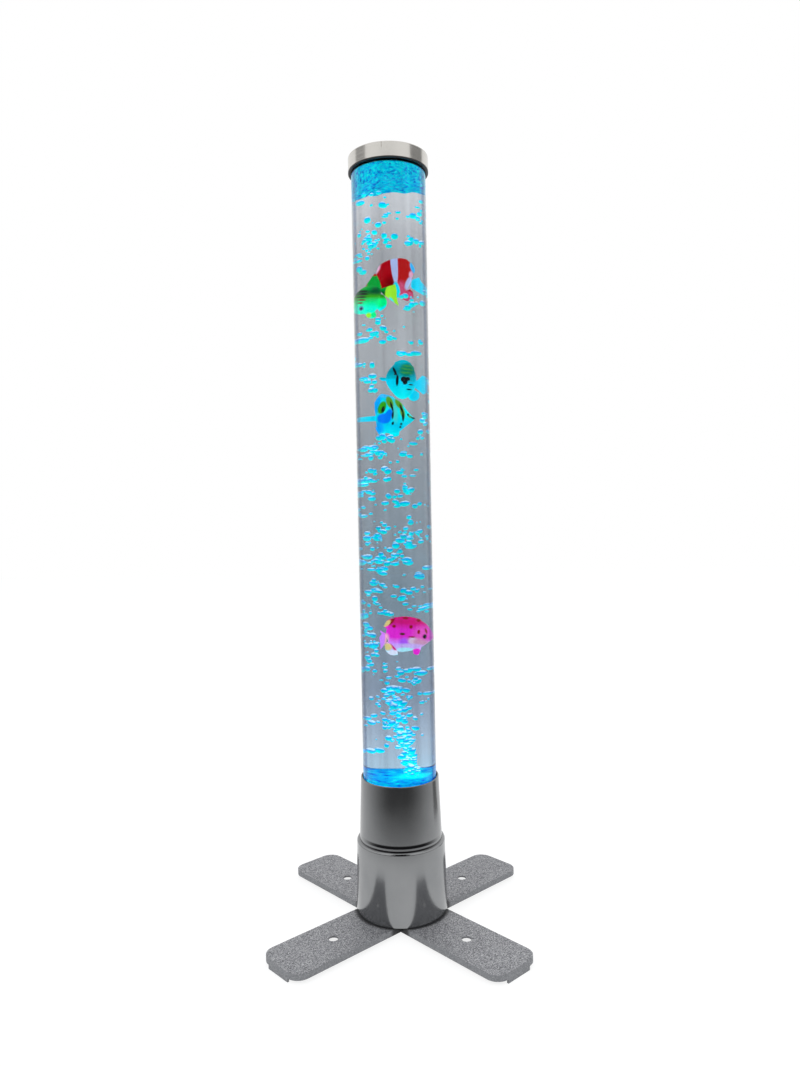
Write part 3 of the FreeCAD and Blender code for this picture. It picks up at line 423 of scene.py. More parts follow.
def clear_acrylic():
    """Clear acrylic, with a painted blue-grey shade line where the thick of its wall is seen edge
    on.
    """
    clear = (0.97, 0.985, 1.0)
    material, tree, shader = glassy(
        "clear_acrylic", clear, acrylic_ior, shadow_tint=(0.96, 0.98, 1.0), gloss=0.12
    )
    # Painted shade: a dark blue-grey line where the wall is seen nearly edge on
    line = ramp(tree, edge_on(tree), [
        (0.0, clear), (0.50, clear), (0.60, (0.22, 0.28, 0.42)), (0.70, (0.30, 0.36, 0.48)),
        (0.80, clear), (1.0, clear),
    ])
    set_inputs(shader, base_color=line)
    return material


def water():
    """Grey-blue water, darker and bluer towards the foot, with soft upright streaks and a painted
    dark shade where it is seen edge on.
    """
    material, tree, shader = glassy(
        "water", (0.5, 0.5, 0.5), water_ior, shadow_tint=(0.8, 0.84, 0.88), gloss=0.0
    )
    share = fitted(tree, own_parts(tree)["Z"], water_bottom, water_top)
    depth = ramp(tree, share, [
        (0.0, (0.40, 0.58, 0.70)), (0.05, (0.37, 0.47, 0.58)), (0.14, (0.225, 0.28, 0.36)),
        (0.30, (0.20, 0.265, 0.315)), (0.50, (0.28, 0.32, 0.36)), (0.71, (0.39, 0.41, 0.43)),
        (0.86, (0.35, 0.365, 0.385)), (0.95, (0.56, 0.57, 0.59)),
    ])
    streak = noise(tree, object_place(tree, (95.0, 95.0, 2.5)), 1.0, 3.0)
    soft = fitted(tree, streak, 0.3, 0.7, 0.82, 1.2)
    streaked = add(tree, "VectorMath", {0: depth, "Scale": soft}, operation="SCALE")
    # Painted shade: the water darkens to deep blue where it is seen edge on
    painted_rim_shade = fitted(tree, edge_on(tree), 0.22, 0.31, 0.0, 0.5, smooth=True)
    colour = blended(tree, painted_rim_shade, streaked.outputs[0], (0.05, 0.085, 0.15))
    set_inputs(shader, base_color=colour)
    return material


def air_bubbles():
    """Bubbles that glow with painted light: bright cyan from the light below, blue at their sides
    and a pale painted highlight on top.
    """
    material, tree, shader = new_material("air_bubbles")
    lift = fitted(tree, noise(tree, object_place(tree), 9 * mm, 1.0), 0.3, 0.7, -0.25, 0.25)
    # Painted light: cyan glow where the bubble faces down towards the light below, pale where it
    # faces up to the sky
    share = fitted(tree, worked(tree, "ADD", facing_up(tree), lift), -1.1, 1.1)
    colour = ramp(tree, share, [
        (0.15, (0.0, 0.80, 0.74)), (0.50, (0.0, 0.62, 0.72)), (0.64, (0.0, 0.28, 0.74)),
        (0.78, (0.10, 0.46, 0.74)), (0.88, (0.62, 0.72, 0.82)),
    ])
    set_inputs(
        shader, base_color=colour, emission_color=colour, roughness=0.3,
        emission_strength=1.45, specular_ior_level=0.2,
    )
    return material


def foam():
    """Fine foam under the lid: cyan cells with blue gaps, glowing with painted light from below."""
    material, tree, shader = new_material("foam")
    place = object_place(tree)
    cells = add(tree, "TexVoronoi", {"Vector": place, "Scale": 1 / (2.0 * mm)})
    random_cell = add(tree, "SeparateColor", {"Color": cells.outputs["Color"]}).outputs["Red"]
    mixed = worked(tree, "ADD", random_cell, noise(tree, place, 7 * mm, 4.0))
    share = fitted(tree, mixed, 0.35, 1.45)
    colour = ramp(tree, share, [
        (0.0, (0.0, 0.07, 0.48)), (0.22, (0.0, 0.20, 0.68)), (0.38, (0.0, 0.42, 0.78)),
        (0.62, (0.0, 0.56, 0.80)), (1.0, (0.0, 0.78, 0.86)),
    ])
    # Painted light: the foam gives off its own colour as glow
    set_inputs(
        shader, base_color=colour, emission_color=colour, roughness=0.6,
        emission_strength=0.95, specular_ior_level=0.05,
    )
    bump(tree, shader, cells.outputs["Distance"], 0.6, 0.6 * mm)
    return material


def lit_floor():
    """The clear disc at the foot of the tube, glowing blue from the light below it."""
    material, tree, shader = new_material("lit_floor")
    glow = fitted(tree, noise(tree, object_place(tree), 11 * mm, 5.0), 0.32, 0.68)
    colour = ramp(tree, glow, [
        (0.0, (0.0, 0.07, 0.58)), (0.25, (0.0, 0.23, 0.70)), (0.5, (0.0, 0.37, 0.76)),
        (0.8, (0.0, 0.54, 0.80)), (1.0, (0.0, 0.80, 0.84)),
    ])
    from_nozzle = add(tree, "VectorMath", {
        0: own_place(tree), 1: (nozzle_x, 0.0, disc_high.z),
    }, operation="DISTANCE").outputs["Value"]
    bright = fitted(tree, from_nozzle, 10 * mm, 26 * mm, 0.9, 0.0, smooth=True)
    colour = blended(tree, bright, colour, (0.0, 0.80, 0.80))
    set_inputs(
        shader, base_color=colour, emission_color=colour, roughness=0.6,
        emission_strength=1.0, specular_ior_level=0.1,
    )
    return material


def glowing_nylon():
    """Clear nylon that carries the blue light of the floor."""
    material = plain_finish("clear_nylon", (0.10, 0.62, 0.78), 0.25, patch=0.01)
    shader = material.node_tree.nodes["Principled BSDF"]
    set_inputs(shader, emission_color=(0.0, 0.66, 0.80, 1.0), emission_strength=1.0)
    return material


# ---- Fish paint

palette = {
    "deep_red": (0.36, 0.0, 0.004), "dark_red": (0.16, 0.0, 0.002), "red": (0.42, 0.004, 0.004),
    "rose": (0.52, 0.06, 0.15), "lilac": (0.40, 0.44, 0.70), "pale_pink": (0.75, 0.35, 0.5),
    "cyan": (0.0, 0.58, 0.78), "bright_cyan": (0.0, 0.80, 0.80), "sky": (0.04, 0.44, 0.80),
    "blue": (0.0, 0.18, 0.84), "mid_blue": (0.0, 0.36, 0.86), "dark_teal": (0.0, 0.22, 0.28),
    "teal": (0.0, 0.40, 0.50), "olive": (0.10, 0.32, 0.02), "moss": (0.0, 0.17, 0.09),
    "black": (0.003, 0.004, 0.006), "dark_green": (0.0, 0.07, 0.02), "green": (0.0, 0.30, 0.03),
    "light_green": (0.0, 0.78, 0.22), "sea_green": (0.0, 0.95, 0.62), "lime": (0.32, 0.74, 0.03),
    "brown": (0.13, 0.03, 0.02), "slate": (0.08, 0.20, 0.33), "magenta": (0.76, 0.01, 0.19),
    "hot_pink": (0.92, 0.025, 0.60), "violet": (0.50, 0.10, 0.90), "soft_lilac": (0.72, 0.48, 0.92),
    "ice": (0.50, 0.92, 0.93), "gold": (0.80, 0.60, 0.22), "maroon": (0.33, 0.01, 0.01),
    "orchid": (0.78, 0.25, 0.90), "peach": (0.92, 0.42, 0.50), "white": (0.85, 0.82, 0.9),
    "grass": (0.03, 0.34, 0.005), "mint": (0.06, 0.62, 0.55), "pink": (0.95, 0.09, 0.55),
    "fern": (0.03, 0.27, 0.05),
}

# Every figure has its nose towards -x and its back up, in millimetres from its middle, and
# its angles in degrees. place is how far across and up it stands from the CAD fish's middle,
# and stretch narrows it along its length, because the water magnifies it.
# back and belly run from the nose to the root of the tail. Fins are (root, outer edge, rays).
# ground is (height, colour) from belly to back, along a line that leans by ground_lean.
# eye is (across, up, radius). Marks are (across, up, half length, half height, lean, soft
# edge, colour); a lean above 0 tips the top of a mark towards the tail.
figures = {}

figures["fish_red"] = dict(
    body="red_fish", slot="paint_red", facing=-1, pitch=-4.0, thickness=17.0,
    place=(1.0, -1.5), ground_lean=0, stretch=0.86,
    back=[
        (-17, -2), (-15.2, 9), (-11, 18), (-3, 23.2),
        (6, 25.5), (14, 25), (19, 20.5), (21, 5),
    ],
    belly=[
        (-17, -2), (-14, -11), (-8, -19), (-1, -25),
        (5, -27), (11, -20.5), (17, -9), (21, 3),
    ],
    fins=[
        ([(16, 23), (19.5, 5)], [(19, 21), (22, 17), (23.5, 10), (21.5, 4)], 5),
        ([(19, -4), (17, -13)], [(27, 0), (28, -5), (31, -11), (33, -18), (29, -23.5)], 7),
        ([(8, -20), (16, -15)], [(7, -24), (8.5, -29), (14, -30.5), (18.5, -26), (19, -20)], 5),
    ],
    ground=[(-28, "deep_red"), (26, "deep_red")],
    eye=(-13, -4, 1.8),
    marks=[
        (-2, -13, 7, 13, 0, 0.6, "dark_red"),
        (-14.6, 12, 2.6, 7, 28, 0.35, "pale_pink"),
        (13, 4, 9, 27, 4, 0.1, "red"),
        (8, -16, 4.5, 9, 10, 0.5, "rose"),
        (17.5, -8, 3.2, 10, 26, 0.25, "lilac"),
        (4.2, 20, 3.8, 30, 1, 0.1, "lilac"),
        (3.4, -20, 3.6, 13, 0, 0.15, "cyan"),
        (19.8, 3, 1.5, 4.5, 10, 0.4, "pale_pink"),
        # Painted highlight: a pale blue line of light near the root of the tail
        (22.2, 12, 2.2, 9, -8, 0.2, "sky"),
        (28, -12, 10, 14, 0, 0.06, "cyan"),
        (13, -25, 7.6, 6.2, 0, 0.1, "rose"),
    ],
)

figures["fish_green"] = dict(
    body="green_fish", slot="paint_green", facing=-1, pitch=-26.0, thickness=14.0,
    place=(0.0, 0.0), ground_lean=27, stretch=0.97,
    back=[
        (-21.5, -4), (-18.5, 3), (-13, 10.5), (-5, 14),
        (4, 16.2), (12, 15), (18, 11), (20.5, 6),
    ],
    belly=[
        (-21.5, -4), (-18, -10.5), (-10, -15.5), (-1, -18),
        (6, -14.5), (13, -4.5), (18, 1.5), (20.5, 5),
    ],
    fins=[
        ([(6, 14), (19, 7)], [(9.5, 18), (16, 22), (24, 26.5), (24, 19), (21.5, 8)], 7),
        ([(18, 6), (18.5, -1)], [(35.5, 4.5), (33, -3), (29, -11), (25.5, -22)], 7),
        ([(14, 3), (4, -14)], [(18.5, -3), (18, -10), (13, -17), (5, -19.5)], 5),
        ([(-10, -14), (0, -16)], [(-10, -20), (-7, -23.5), (-2, -24), (0.5, -20)], 4),
    ],
    ground=[
        (-18, "sea_green"), (-11, "sea_green"), (-4, "light_green"), (3, "grass"),
        (9, "dark_green"), (13, "green"), (27, "green"),
    ],
    eye=(-11.5, -7.3, 1.8),
    marks=[
        (13.5, 6, 5, 4.5, 30, 0.7, "dark_green"),
        (23.4, 25.5, 2.2, 2.0, 0, 0.4, "red"),
        (8, 17.8, 2.2, 1.6, 0, 0.4, "maroon"),
        (0.6, 12.4, 6.8, 1.3, 33, 0.2, "black"),
        (-1.4, 8.6, 6.4, 1.3, 33, 0.2, "black"),
        (-4.6, 5.9, 6.4, 1.2, 33, 0.2, "black"),
        (-6.2, 2.3, 5.4, 1.1, 33, 0.3, "brown"),
        (-9.6, -0.2, 3.8, 1.0, 33, 0.3, "brown"),
        (-11.5, -7.3, 2.9, 2.9, 0, 0.3, "slate"),
        (30, -8, 11, 16.5, 25, 0.05, "lime"),
        (21.5, -15, 2.2, 6, 12, 0.4, "bright_cyan"),
        (12, -12, 6, 6, 30, 0.5, "light_green"),
        (9, -18.5, 9, 2.2, -12, 0.5, "bright_cyan"),
        (-7.4, -19.5, 3.4, 3.2, 0, 0.4, "lime"),
        (-2, -21.5, 3.6, 3.2, 0, 0.3, "light_green"),
    ],
)

figures["fish_teal"] = dict(
    body="teal_fish", slot="paint_teal", facing=-1, pitch=6.0, thickness=16.0,
    place=(0.0, 0.0), ground_lean=-3, stretch=0.95,
    back=[
        (-11, 3), (-10.2, 11), (-7.2, 18.5), (-3, 24.5), (3, 27.5),
        (9.5, 25.5), (15, 19.5), (18, 11), (20, 0),
    ],
    belly=[
        (-11, 3), (-10, -1.5), (-7.5, -7), (-3, -14), (3, -21),
        (9, -22.8), (14, -19), (17.5, -12), (20, -2),
    ],
    fins=[
        ([(-5, 21), (15, 17)], [(-4, 26), (3, 29.8), (10, 27.5), (16, 19.5)], 8),
        ([(18.5, 1), (18.5, -5)], [(24.5, 11), (30, 8.5), (31, -1), (31.5, -9), (28, -13.5)], 7),
        ([(13, -18), (18, -9)], [(16, -22.5), (20, -23.5), (24, -20), (24, -13)], 5),
        ([(-10, 4.5), (-10, 1)], [(-16, 5), (-17, 3.4), (-14, 1.2)], 3),
    ],
    ground=[
        (-24, "bright_cyan"), (-1, "cyan"), (2, "cyan"), (4, "teal"), (13, "dark_teal"),
        (30, "teal"),
    ],
    eye=(-1.4, 9, 1.5),
    marks=[
        (9.5, 16, 7, 9, 0, 0.4, "moss"),
        (9.5, 21.5, 5, 1.0, 5, 0.5, "fern"),
        (9.5, 17, 6.5, 1.0, 5, 0.5, "fern"),
        (9.5, 12, 6, 1.0, 0, 0.5, "fern"),
        (14, 3, 5, 3, 0, 0.6, "teal"),
        (-2.4, 13.2, 1.3, 6.0, -25, 0.25, "black"),
        (1.4, 1.2, 1.5, 7.6, -3, 0.25, "black"),
        (8.0, 3.0, 3.2, 3.8, 0, 0.15, "black"),
        (11.9, 4.0, 2.5, 2.7, 10, 0.2, "black"),
        (9.8, -0.8, 2.4, 3.2, 10, 0.25, "black"),
        (15.6, -3.3, 2.1, 0.95, 0, 0.3, "black"),
        (14.3, -9.8, 2.6, 0.95, 0, 0.3, "black"),
        (27, -1, 8, 15, 0, 0.08, "cyan"),
        (20.5, -17.5, 5, 7, 0, 0.3, "cyan"),
    ],
)

figures["fish_striped"] = dict(
    body="striped_fish", slot="paint_striped", facing=1, pitch=-12.0, thickness=15.0,
    place=(0.0, -1.5), ground_lean=0, stretch=0.95,
    back=[
        (-23, 0), (-17, 4), (-11, 9.5), (-4.5, 16.5), (3, 21.5),
        (11, 23.5), (18, 23.5), (23.5, 19.5), (25, 10),
    ],
    belly=[
        (-23, 0), (-19, -6), (-14.5, -12), (-10, -19), (-4, -23.5),
        (4, -24.5), (12, -24.5), (17, -18), (20.5, -6), (25, 8),
    ],
    fins=[
        ([(4, 20), (24, 12)], [(6, 23.5), (14, 25.5), (22, 24.5), (26, 12)], 7),
        ([(19.5, -3.5), (19, -10)], [(42.5, -9.5), (44.5, -12), (42, -14.8)], 4),
        ([(-9, -19), (1, -22)], [(-9.5, -24.5), (-5, -27), (1, -26)], 4),
        ([(6, -22), (16, -17)], [(6, -26), (12, -27), (18, -19)], 4),
    ],
    ground=[(-26, "bright_cyan"), (-14, "cyan"), (4, "bright_cyan"), (24, "cyan")],
    eye=(-14.3, 3.0, 1.6),
    marks=[
        (24, 12, 5, 17, 0, 0.3, "mid_blue"),
        (17, 24, 9, 3.2, 0, 0.4, "sky"),
        (15, -20, 6.5, 8, 20, 0.4, "mid_blue"),
        (2.0, 7, 3.2, 15, 18, 0.5, "mint"),
        (16.2, 7.5, 4.4, 8.6, -6, 0.15, "grass"),
        (14.6, 5, 1.9, 4.4, 0, 0.4, "black"),
        (11, -6.5, 7.8, 6.6, 0, 0.2, "blue"),
        (7.2, -2, 4.0, 9, -8, 0.2, "blue"),
        (9.2, 16, 3.7, 8.6, 28, 0.2, "olive"),
        (5.6, 10.5, 1.2, 7.2, 26, 0.3, "black"),
        (2.2, -0.5, 1.2, 5.2, 8, 0.3, "black"),
        (0.0, -11, 1.3, 2.2, 0, 0.4, "black"),
        (-1.3, 15.6, 3.2, 8, 38, 0.2, "olive"),
        (-8.0, 5, 2.6, 7.5, 24, 0.3, "olive"),
        (-5.6, 9.8, 1.2, 6.6, 30, 0.3, "black"),
        (-9.7, -0.2, 1.25, 6.4, 12, 0.3, "black"),
        (-9.4, -10.2, 1.2, 1.6, 0, 0.4, "black"),
        (-9.2, -14.2, 1.2, 1.3, 0, 0.4, "black"),
        (-17.4, 1.2, 2.4, 1.3, -20, 0.3, "olive"),
        (-21.0, 0.2, 2.2, 1.2, -20, 0.3, "black"),
    ],
)

figures["fish_pink"] = dict(
    body="pink_fish", slot="paint_pink", facing=1, pitch=-5.0, thickness=17.0,
    place=(0.0, 0.0), ground_lean=0, stretch=0.95,
    back=[
        (-28, 0), (-23, 7), (-18, 13), (-12, 19), (-5, 23),
        (3, 25), (12, 25), (20, 23.5), (27, 18), (30, 6),
    ],
    belly=[
        (-28, 0), (-24, -3), (-18, -7.5), (-11, -13), (-4, -17),
        (4, -19.5), (12, -21), (19, -18.5), (25, -11.5), (30, 2),
    ],
    fins=[
        ([(-8, 20), (24, 20)], [(-7, 23.5), (3, 26.5), (13, 27), (23, 25)], 9),
        ([(20, 22), (29, 10)], [(25, 24), (30, 20.5), (33, 13)], 4),
        ([(29, 2), (28.5, -8)], [(36.5, 6.5), (34.5, 2), (36.5, -3), (35, -9), (34, -18.5)], 6),
        ([(28, -8), (16, -19)], [(30, -13), (28, -20), (22, -25), (15, -24.5)], 6),
        ([(-10, -13), (-1, -17)], [(-9, -19), (-7, -23.5), (-2, -22)], 4),
    ],
    ground=[
        (-22, "ice"), (-17, "soft_lilac"), (-9, "orchid"), (-1, "hot_pink"),
        (10, "hot_pink"), (19, "magenta"), (27, "magenta"),
    ],
    eye=(-15.1, 1.8, 1.8),
    marks=[
        (-10, 5, 9, 9, 0, 0.6, "pink"),
        (9, -7.5, 5.5, 6.5, 0, 0.5, "violet"),
        (-1, -4.5, 4.6, 4.6, 0, 0.5, "white"),
        (-10, -6.5, 12, 5.0, -12, 0.7, "pale_pink"),
        (2, -11.5, 15, 3, 0, 0.6, "soft_lilac"),
        (6, -17.5, 10, 3.4, 0, 0.4, "ice"),
        (21.8, 13.8, 2.1, 2.0, 0, 0.4, "maroon"),
        (2.6, 14.3, 2.0, 2.5, 0, 0.4, "maroon"),
        (11.6, 4.3, 3.1, 1.7, 0, 0.4, "brown"),
        (-7.1, 7.9, 1.7, 2.9, 0, 0.4, "maroon"),
        (10.3, 25.0, 3.3, 1.3, 0, 0.4, "maroon"),
        (-4.5, 22.5, 2.5, 1.4, -20, 0.4, "maroon"),
        (-16, 9.0, 1.3, 3.8, 26, 0.4, "maroon"),
        (0.4, 0.9, 4.2, 0.9, 0, 0.4, "maroon"),
        (-15.1, 1.8, 2.5, 3.0, 0, 0.4, "black"),
        (25.6, 19.0, 1.9, 5.6, -35, 0.3, "maroon"),
        (29.8, 16.5, 2.4, 5.6, -33, 0.3, "gold"),
        (29.5, -4, 3.2, 7, 0, 0.4, "peach"),
        (35, -5, 4.6, 15, 0, 0.15, "orchid"),
        (20.5, -15.5, 1.5, 6.5, 40, 0.4, "magenta"),
        (26.5, -15, 4.4, 5.0, 30, 0.3, "gold"),
        (21, -22.8, 7.5, 3.2, 12, 0.3, "white"),
        (-5, -20, 5, 4.6, 0, 0.2, "hot_pink"),
    ],
)


def figure_turn(figure):
    """The turn from a figure's own frame to its place in the tube."""
    facing = figure["facing"]
    about = Matrix.Rotation(math.pi if facing > 0 else 0.0, 3, "Z")
    lean = Matrix.Rotation(math.radians(-facing * figure["pitch"]), 3, "Y")
    return lean @ about


def curve_at(points, share):
    """A point at a share of the way along a smooth line through points."""
    place = share * (len(points) - 1)
    index = min(int(place), len(points) - 2)
    step = place - index
    before = Vector(points[max(index - 1, 0)])
    start = Vector(points[index])
    end = Vector(points[index + 1])
    after = Vector(points[min(index + 2, len(points) - 1)])
    slope_in = (end - before) / 2
    slope_out = (after - start) / 2
    square, cube = step * step, step ** 3
    return (
        start * (2 * cube - 3 * square + 1) + slope_in * (cube - 2 * square + step)
        + end * (3 * square - 2 * cube) + slope_out * (cube - square)
    )


halvings = 18


def height_at(points, across):
    """The height of an outline at one place across, by halving the way along it."""
    low, high = 0.0, 1.0
    for _ in range(halvings):
        middle = (low + high) / 2
        if curve_at(points, middle).x < across:
            low = middle
        else:
            high = middle
    return curve_at(points, low).y


# How bluntly a body narrows to its ends, seen from above
end_bluntness = 0.85


def body_line(figure):
    """The two ends of a body's middle line: its nose, and the root of its tail."""
    root_x, back_z = figure["back"][-1]
    return *figure["back"][0], root_x, (back_z + figure["belly"][-1][1]) / 2


def add_body(mesh, figure):
    """The swollen body between the outlines of back and belly."""
    made = bmesh.ops.create_uvsphere(mesh, u_segments=36, v_segments=28, radius=1.0)
    nose_x, nose_z, root_x, root_z = body_line(figure)
    for vert in made["verts"]:
        across, side, up = vert.co.z, vert.co.y, vert.co.x
        ring = math.sqrt(max(0.0, 1 - across * across))
        share = (across + 1) / 2
        x = nose_x + share * (root_x - nose_x)
        axis = nose_z + share * (root_z - nose_z)
        part = up / ring if ring > 1e-6 else 0.0
        edge = height_at(figure["back"] if part > 0 else figure["belly"], x)
        z = axis + abs(part) * (edge - axis)
        turned = side / ring if ring > 1e-6 else 0.0
        y = turned * figure["thickness"] / 2 * ring ** end_bluntness
        vert.co = Vector((x, y, z))


# Fins in millimetres: their thickness, the height of their ripples, and how far they bend
fin_thickness = 0.9
fin_ripple = 0.28
fin_bend = 0.5


def add_fin(mesh, root, edge, rays):
    """A thin rayed fin between the line of its root and its outer edge."""
    made = bmesh.ops.create_grid(mesh, x_segments=rays * 4, y_segments=8, size=1.0)
    for vert in made["verts"]:
        along = (vert.co.x + 1) / 2
        out = (vert.co.y + 1) / 2
        point = curve_at(root, along).lerp(curve_at(edge, along), out)
        ripple = fin_ripple * out * math.cos(2 * math.pi * rays * along)
        bend = fin_bend * out * math.sin(3 * along)
        vert.co = Vector((point.x, ripple + bend, point.y))
    faces = list({face for vert in made["verts"] for face in vert.link_faces})
    bmesh.ops.solidify(mesh, geom=faces, thickness=fin_thickness)


# Eyes as shares of their radius: how deep the middle is sunk, and half the thickness
eye_sink = 0.35
eye_flatness = 0.55


def add_eyes(mesh, figure):
    """A flat round eye sunk a little into each side."""
    x, z, radius = figure["eye"]
    before = set(mesh.faces)
    for side in (-1, 1):
        reach = body_half_thickness(figure, x, z)
        place = Matrix.Translation((x, side * (reach - eye_sink * radius), z))
        size = Matrix.Diagonal((1.0, eye_flatness, 1.0, 1.0))
        bmesh.ops.create_uvsphere(
            mesh, u_segments=16, v_segments=10, radius=radius, matrix=place @ size
        )
    for face in set(mesh.faces) - before:
        face.material_index = 1


def body_half_thickness(figure, x, z):
    """How far the body's side stands from its middle plane at a place."""
    nose_x, nose_z, root_x, root_z = body_line(figure)
    share = (x - nose_x) / (root_x - nose_x)
    ring = math.sqrt(max(0.0, 1 - (2 * share - 1) ** 2))
    axis = nose_z + share * (root_z - nose_z)
    edge = height_at(figure["back"] if z > axis else figure["belly"], x)
    part = min(1.0, abs((z - axis) / (edge - axis)))
    return math.sqrt(1 - part * part) * figure["thickness"] / 2 * ring ** end_bluntness


def finish_mesh(mesh, name):
    """A smooth-shaded object in the scene from a bmesh."""
    bmesh.ops.recalc_face_normals(mesh, faces=mesh.faces)
    data = bpy.data.meshes.new(name)
    mesh.to_mesh(data)
    mesh.free()
    data.shade_smooth()
    piece = bpy.data.objects.new(name, data)
    bpy.context.scene.collection.objects.link(piece)
    return piece


# A mark goes through from side to side, so its half depth is more than any fish has
mark_depth = 1000.0


def fish_paint(figure, shift):
    """Paint in the figure's own side view: a ground from belly to back, then its marks, also given
    off as a painted glow that makes up for the light the water takes.
    """
    material, tree, shader = new_material(figure["slot"])
    turn = figure_turn(figure).to_euler()
    own = add(tree, "Mapping", {
        "Vector": own_place(tree), "Location": shift, "Rotation": turn,
        "Scale": (mm * figure["stretch"], mm, mm),
    }, vector_type="TEXTURE").outputs["Vector"]
    leaning = add(tree, "Mapping", {
        "Vector": own, "Rotation": (0, math.radians(figure["ground_lean"]), 0),
    }, vector_type="TEXTURE")
    up = add(tree, "SeparateXYZ", {"Vector": leaning.outputs["Vector"]}).outputs["Z"]
    low = figure["ground"][0][0]
    high = figure["ground"][-1][0]
    colour = ramp(tree, fitted(tree, up, low, high), [
        ((height - low) / (high - low), palette[paint]) for height, paint in figure["ground"]
    ])
    for x, z, half_x, half_z, lean, soft, paint in figure["marks"]:
        spot = add(tree, "Mapping", {
            "Vector": own, "Location": (x, 0, z), "Rotation": (0, math.radians(lean), 0),
            "Scale": (half_x, mark_depth, half_z),
        }, vector_type="TEXTURE")
        reach = add(tree, "VectorMath", {0: spot.outputs[0]}, operation="LENGTH")
        mask = fitted(tree, reach.outputs["Value"], 1 + soft, 1 - soft, smooth=True)
        colour = blended(tree, mask, colour, palette[paint])
    scales = add(tree, "TexVoronoi", {"Vector": own, "Scale": 0.55})
    depth = fitted(tree, scales.outputs["Distance"], 0.0, 0.8, 1.0, 0.86)
    scaled = add(tree, "VectorMath", {0: colour, "Scale": depth}, operation="SCALE").outputs[0]
    # Painted light: the fish give off their paint as glow, making up for the light the water takes
    set_inputs(
        shader, base_color=scaled, emission_color=scaled, roughness=0.4,
        emission_strength=1.6, specular_ior_level=0.12,
    )
    bump(tree, shader, scales.outputs["Distance"], 0.2, 0.2 * mm)
    return material


def make_fish(node, figure, eye_paint):
    """A moulded toy fish that stands for one CAD fish."""
    mesh = bmesh.new()
    add_body(mesh, figure)
    for root, edge, rays in figure["fins"]:
        add_fin(mesh, root, edge, rays)
    add_eyes(mesh, figure)
    size = Matrix.Diagonal((mm * figure["stretch"], mm, mm, 1.0))
    bmesh.ops.transform(mesh, matrix=figure_turn(figure).to_4x4() @ size, verts=mesh.verts)
    low = Vector([min(vert.co[i] for vert in mesh.verts) for i in range(3)])
    high = Vector([max(vert.co[i] for vert in mesh.verts) for i in range(3)])
    cad_low, cad_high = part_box(node)
    shift = (cad_low + cad_high - low - high) / 2
    shift += Vector((figure["place"][0], 0, figure["place"][1])) * mm
    bmesh.ops.translate(mesh, vec=shift, verts=mesh.verts)
    piece = finish_mesh(mesh, node.replace("fish_", "") + "_fish_figure")
    piece.data.materials.append(fish_paint(figure, shift))
    piece.data.materials.append(eye_paint)
    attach(piece, figure["body"])
    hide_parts(node)


# ---- The tube, the water and what is in it

round_steps = 192
weld_distance = 0.001 * mm


def add_turned(mesh, profile, closed):
    """A solid turned about the axis from (radius, height) points."""
    verts = [mesh.verts.new((reach, 0, height)) for reach, height in profile]
    edges = [mesh.edges.new(pair) for pair in zip(verts, verts[1:])]
    if closed:
        edges.append(mesh.edges.new((verts[-1], verts[0])))
    bmesh.ops.spin(
        mesh, geom=verts + edges, axis=(0, 0, 1), cent=(0, 0, 0), angle=2 * math.pi,
        steps=round_steps, use_merge=True,
    )
    bmesh.ops.remove_doubles(mesh, verts=mesh.verts, dist=weld_distance)


def make_tube():
    """The clear tube, in place of the CAD one, with more steps round it."""
    mesh = bmesh.new()
    add_turned(mesh, [
        (bore_radius, tube_low.z), (tube_radius, tube_low.z),
        (tube_radius, tube_high.z), (bore_radius, tube_high.z),
    ], True)
    piece = finish_mesh(mesh, "clear_tube")
    piece.data.materials.append(clear_acrylic())
    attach(piece, "lamp")
    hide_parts("acrylic_tube")
    sharpen(piece)


def sharpen(piece, degrees=40):
    """Keep the edges sharper than an angle from being shaded smooth."""
    mesh = bmesh.new()
    mesh.from_mesh(piece.data)
    for edge in mesh.edges:
        if len(edge.link_faces) == 2 and edge.calc_face_angle() > math.radians(degrees):
            edge.smooth = False
    mesh.to_mesh(piece.data)
    mesh.free()


def make_water():
    """The body of water that fills the tube up to the plug."""
    mesh = bmesh.new()
    add_turned(mesh, [
        (0, water_bottom), (water_radius, water_bottom), (water_radius, water_top), (0, water_top),
    ], False)
    piece = finish_mesh(mesh, "water")
    piece.data.materials.append(water())
    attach(piece, "lamp")
    sharpen(piece)


# Foam: rings and waves of its underside, its room at the wall and under the water's top, the
# height of its waves, and how far it hangs down at the left, from where and over what width
foam_rings = 24
foam_waves = 12
foam_seed = 5
foam_room = 0.8 * mm
foam_top_gap = 0.5 * mm
wave_height = 0.45 * mm
sag_depth = 11 * mm
sag_start = 0.16
sag_width = 0.45


def make_foam():
    """A layer of foam whose underside is uneven and hangs lower at the left."""
    mesh = bmesh.new()
    radius = water_radius - foam_room
    bottom = water_top - foam_depth
    top = water_top - foam_top_gap
    rings = [(radius * step / foam_rings, bottom) for step in range(foam_rings + 1)]
    add_turned(mesh, rings + [(radius, top), (0, top)], False)
    rng = random.Random(foam_seed)
    waves = [
        (rng.uniform(120, 600), rng.uniform(0, 2 * math.pi), rng.uniform(0, 2 * math.pi))
        for _ in range(foam_waves)
    ]
    for vert in mesh.verts:
        if vert.co.z < bottom + 1 * mm:
            wave = sum(
                math.sin(rate * (vert.co.x * math.cos(way) + vert.co.y * math.sin(way)) + phase)
                for rate, way, phase in waves
            )
            sag = min(1.0, max(0.0, -vert.co.x / radius - sag_start) / sag_width) * sag_depth
            vert.co.z += wave_height * wave - sag
    piece = finish_mesh(mesh, "foam_layer")
    piece.data.materials.append(foam())
    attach(piece, "lamp")
    sharpen(piece, 60)


# The lit layer: its room at the wall, and its lowest and highest places above the tube's floor
lit_room = 0.4 * mm
lit_bottom = 0.2 * mm
lit_top = 2.4 * mm


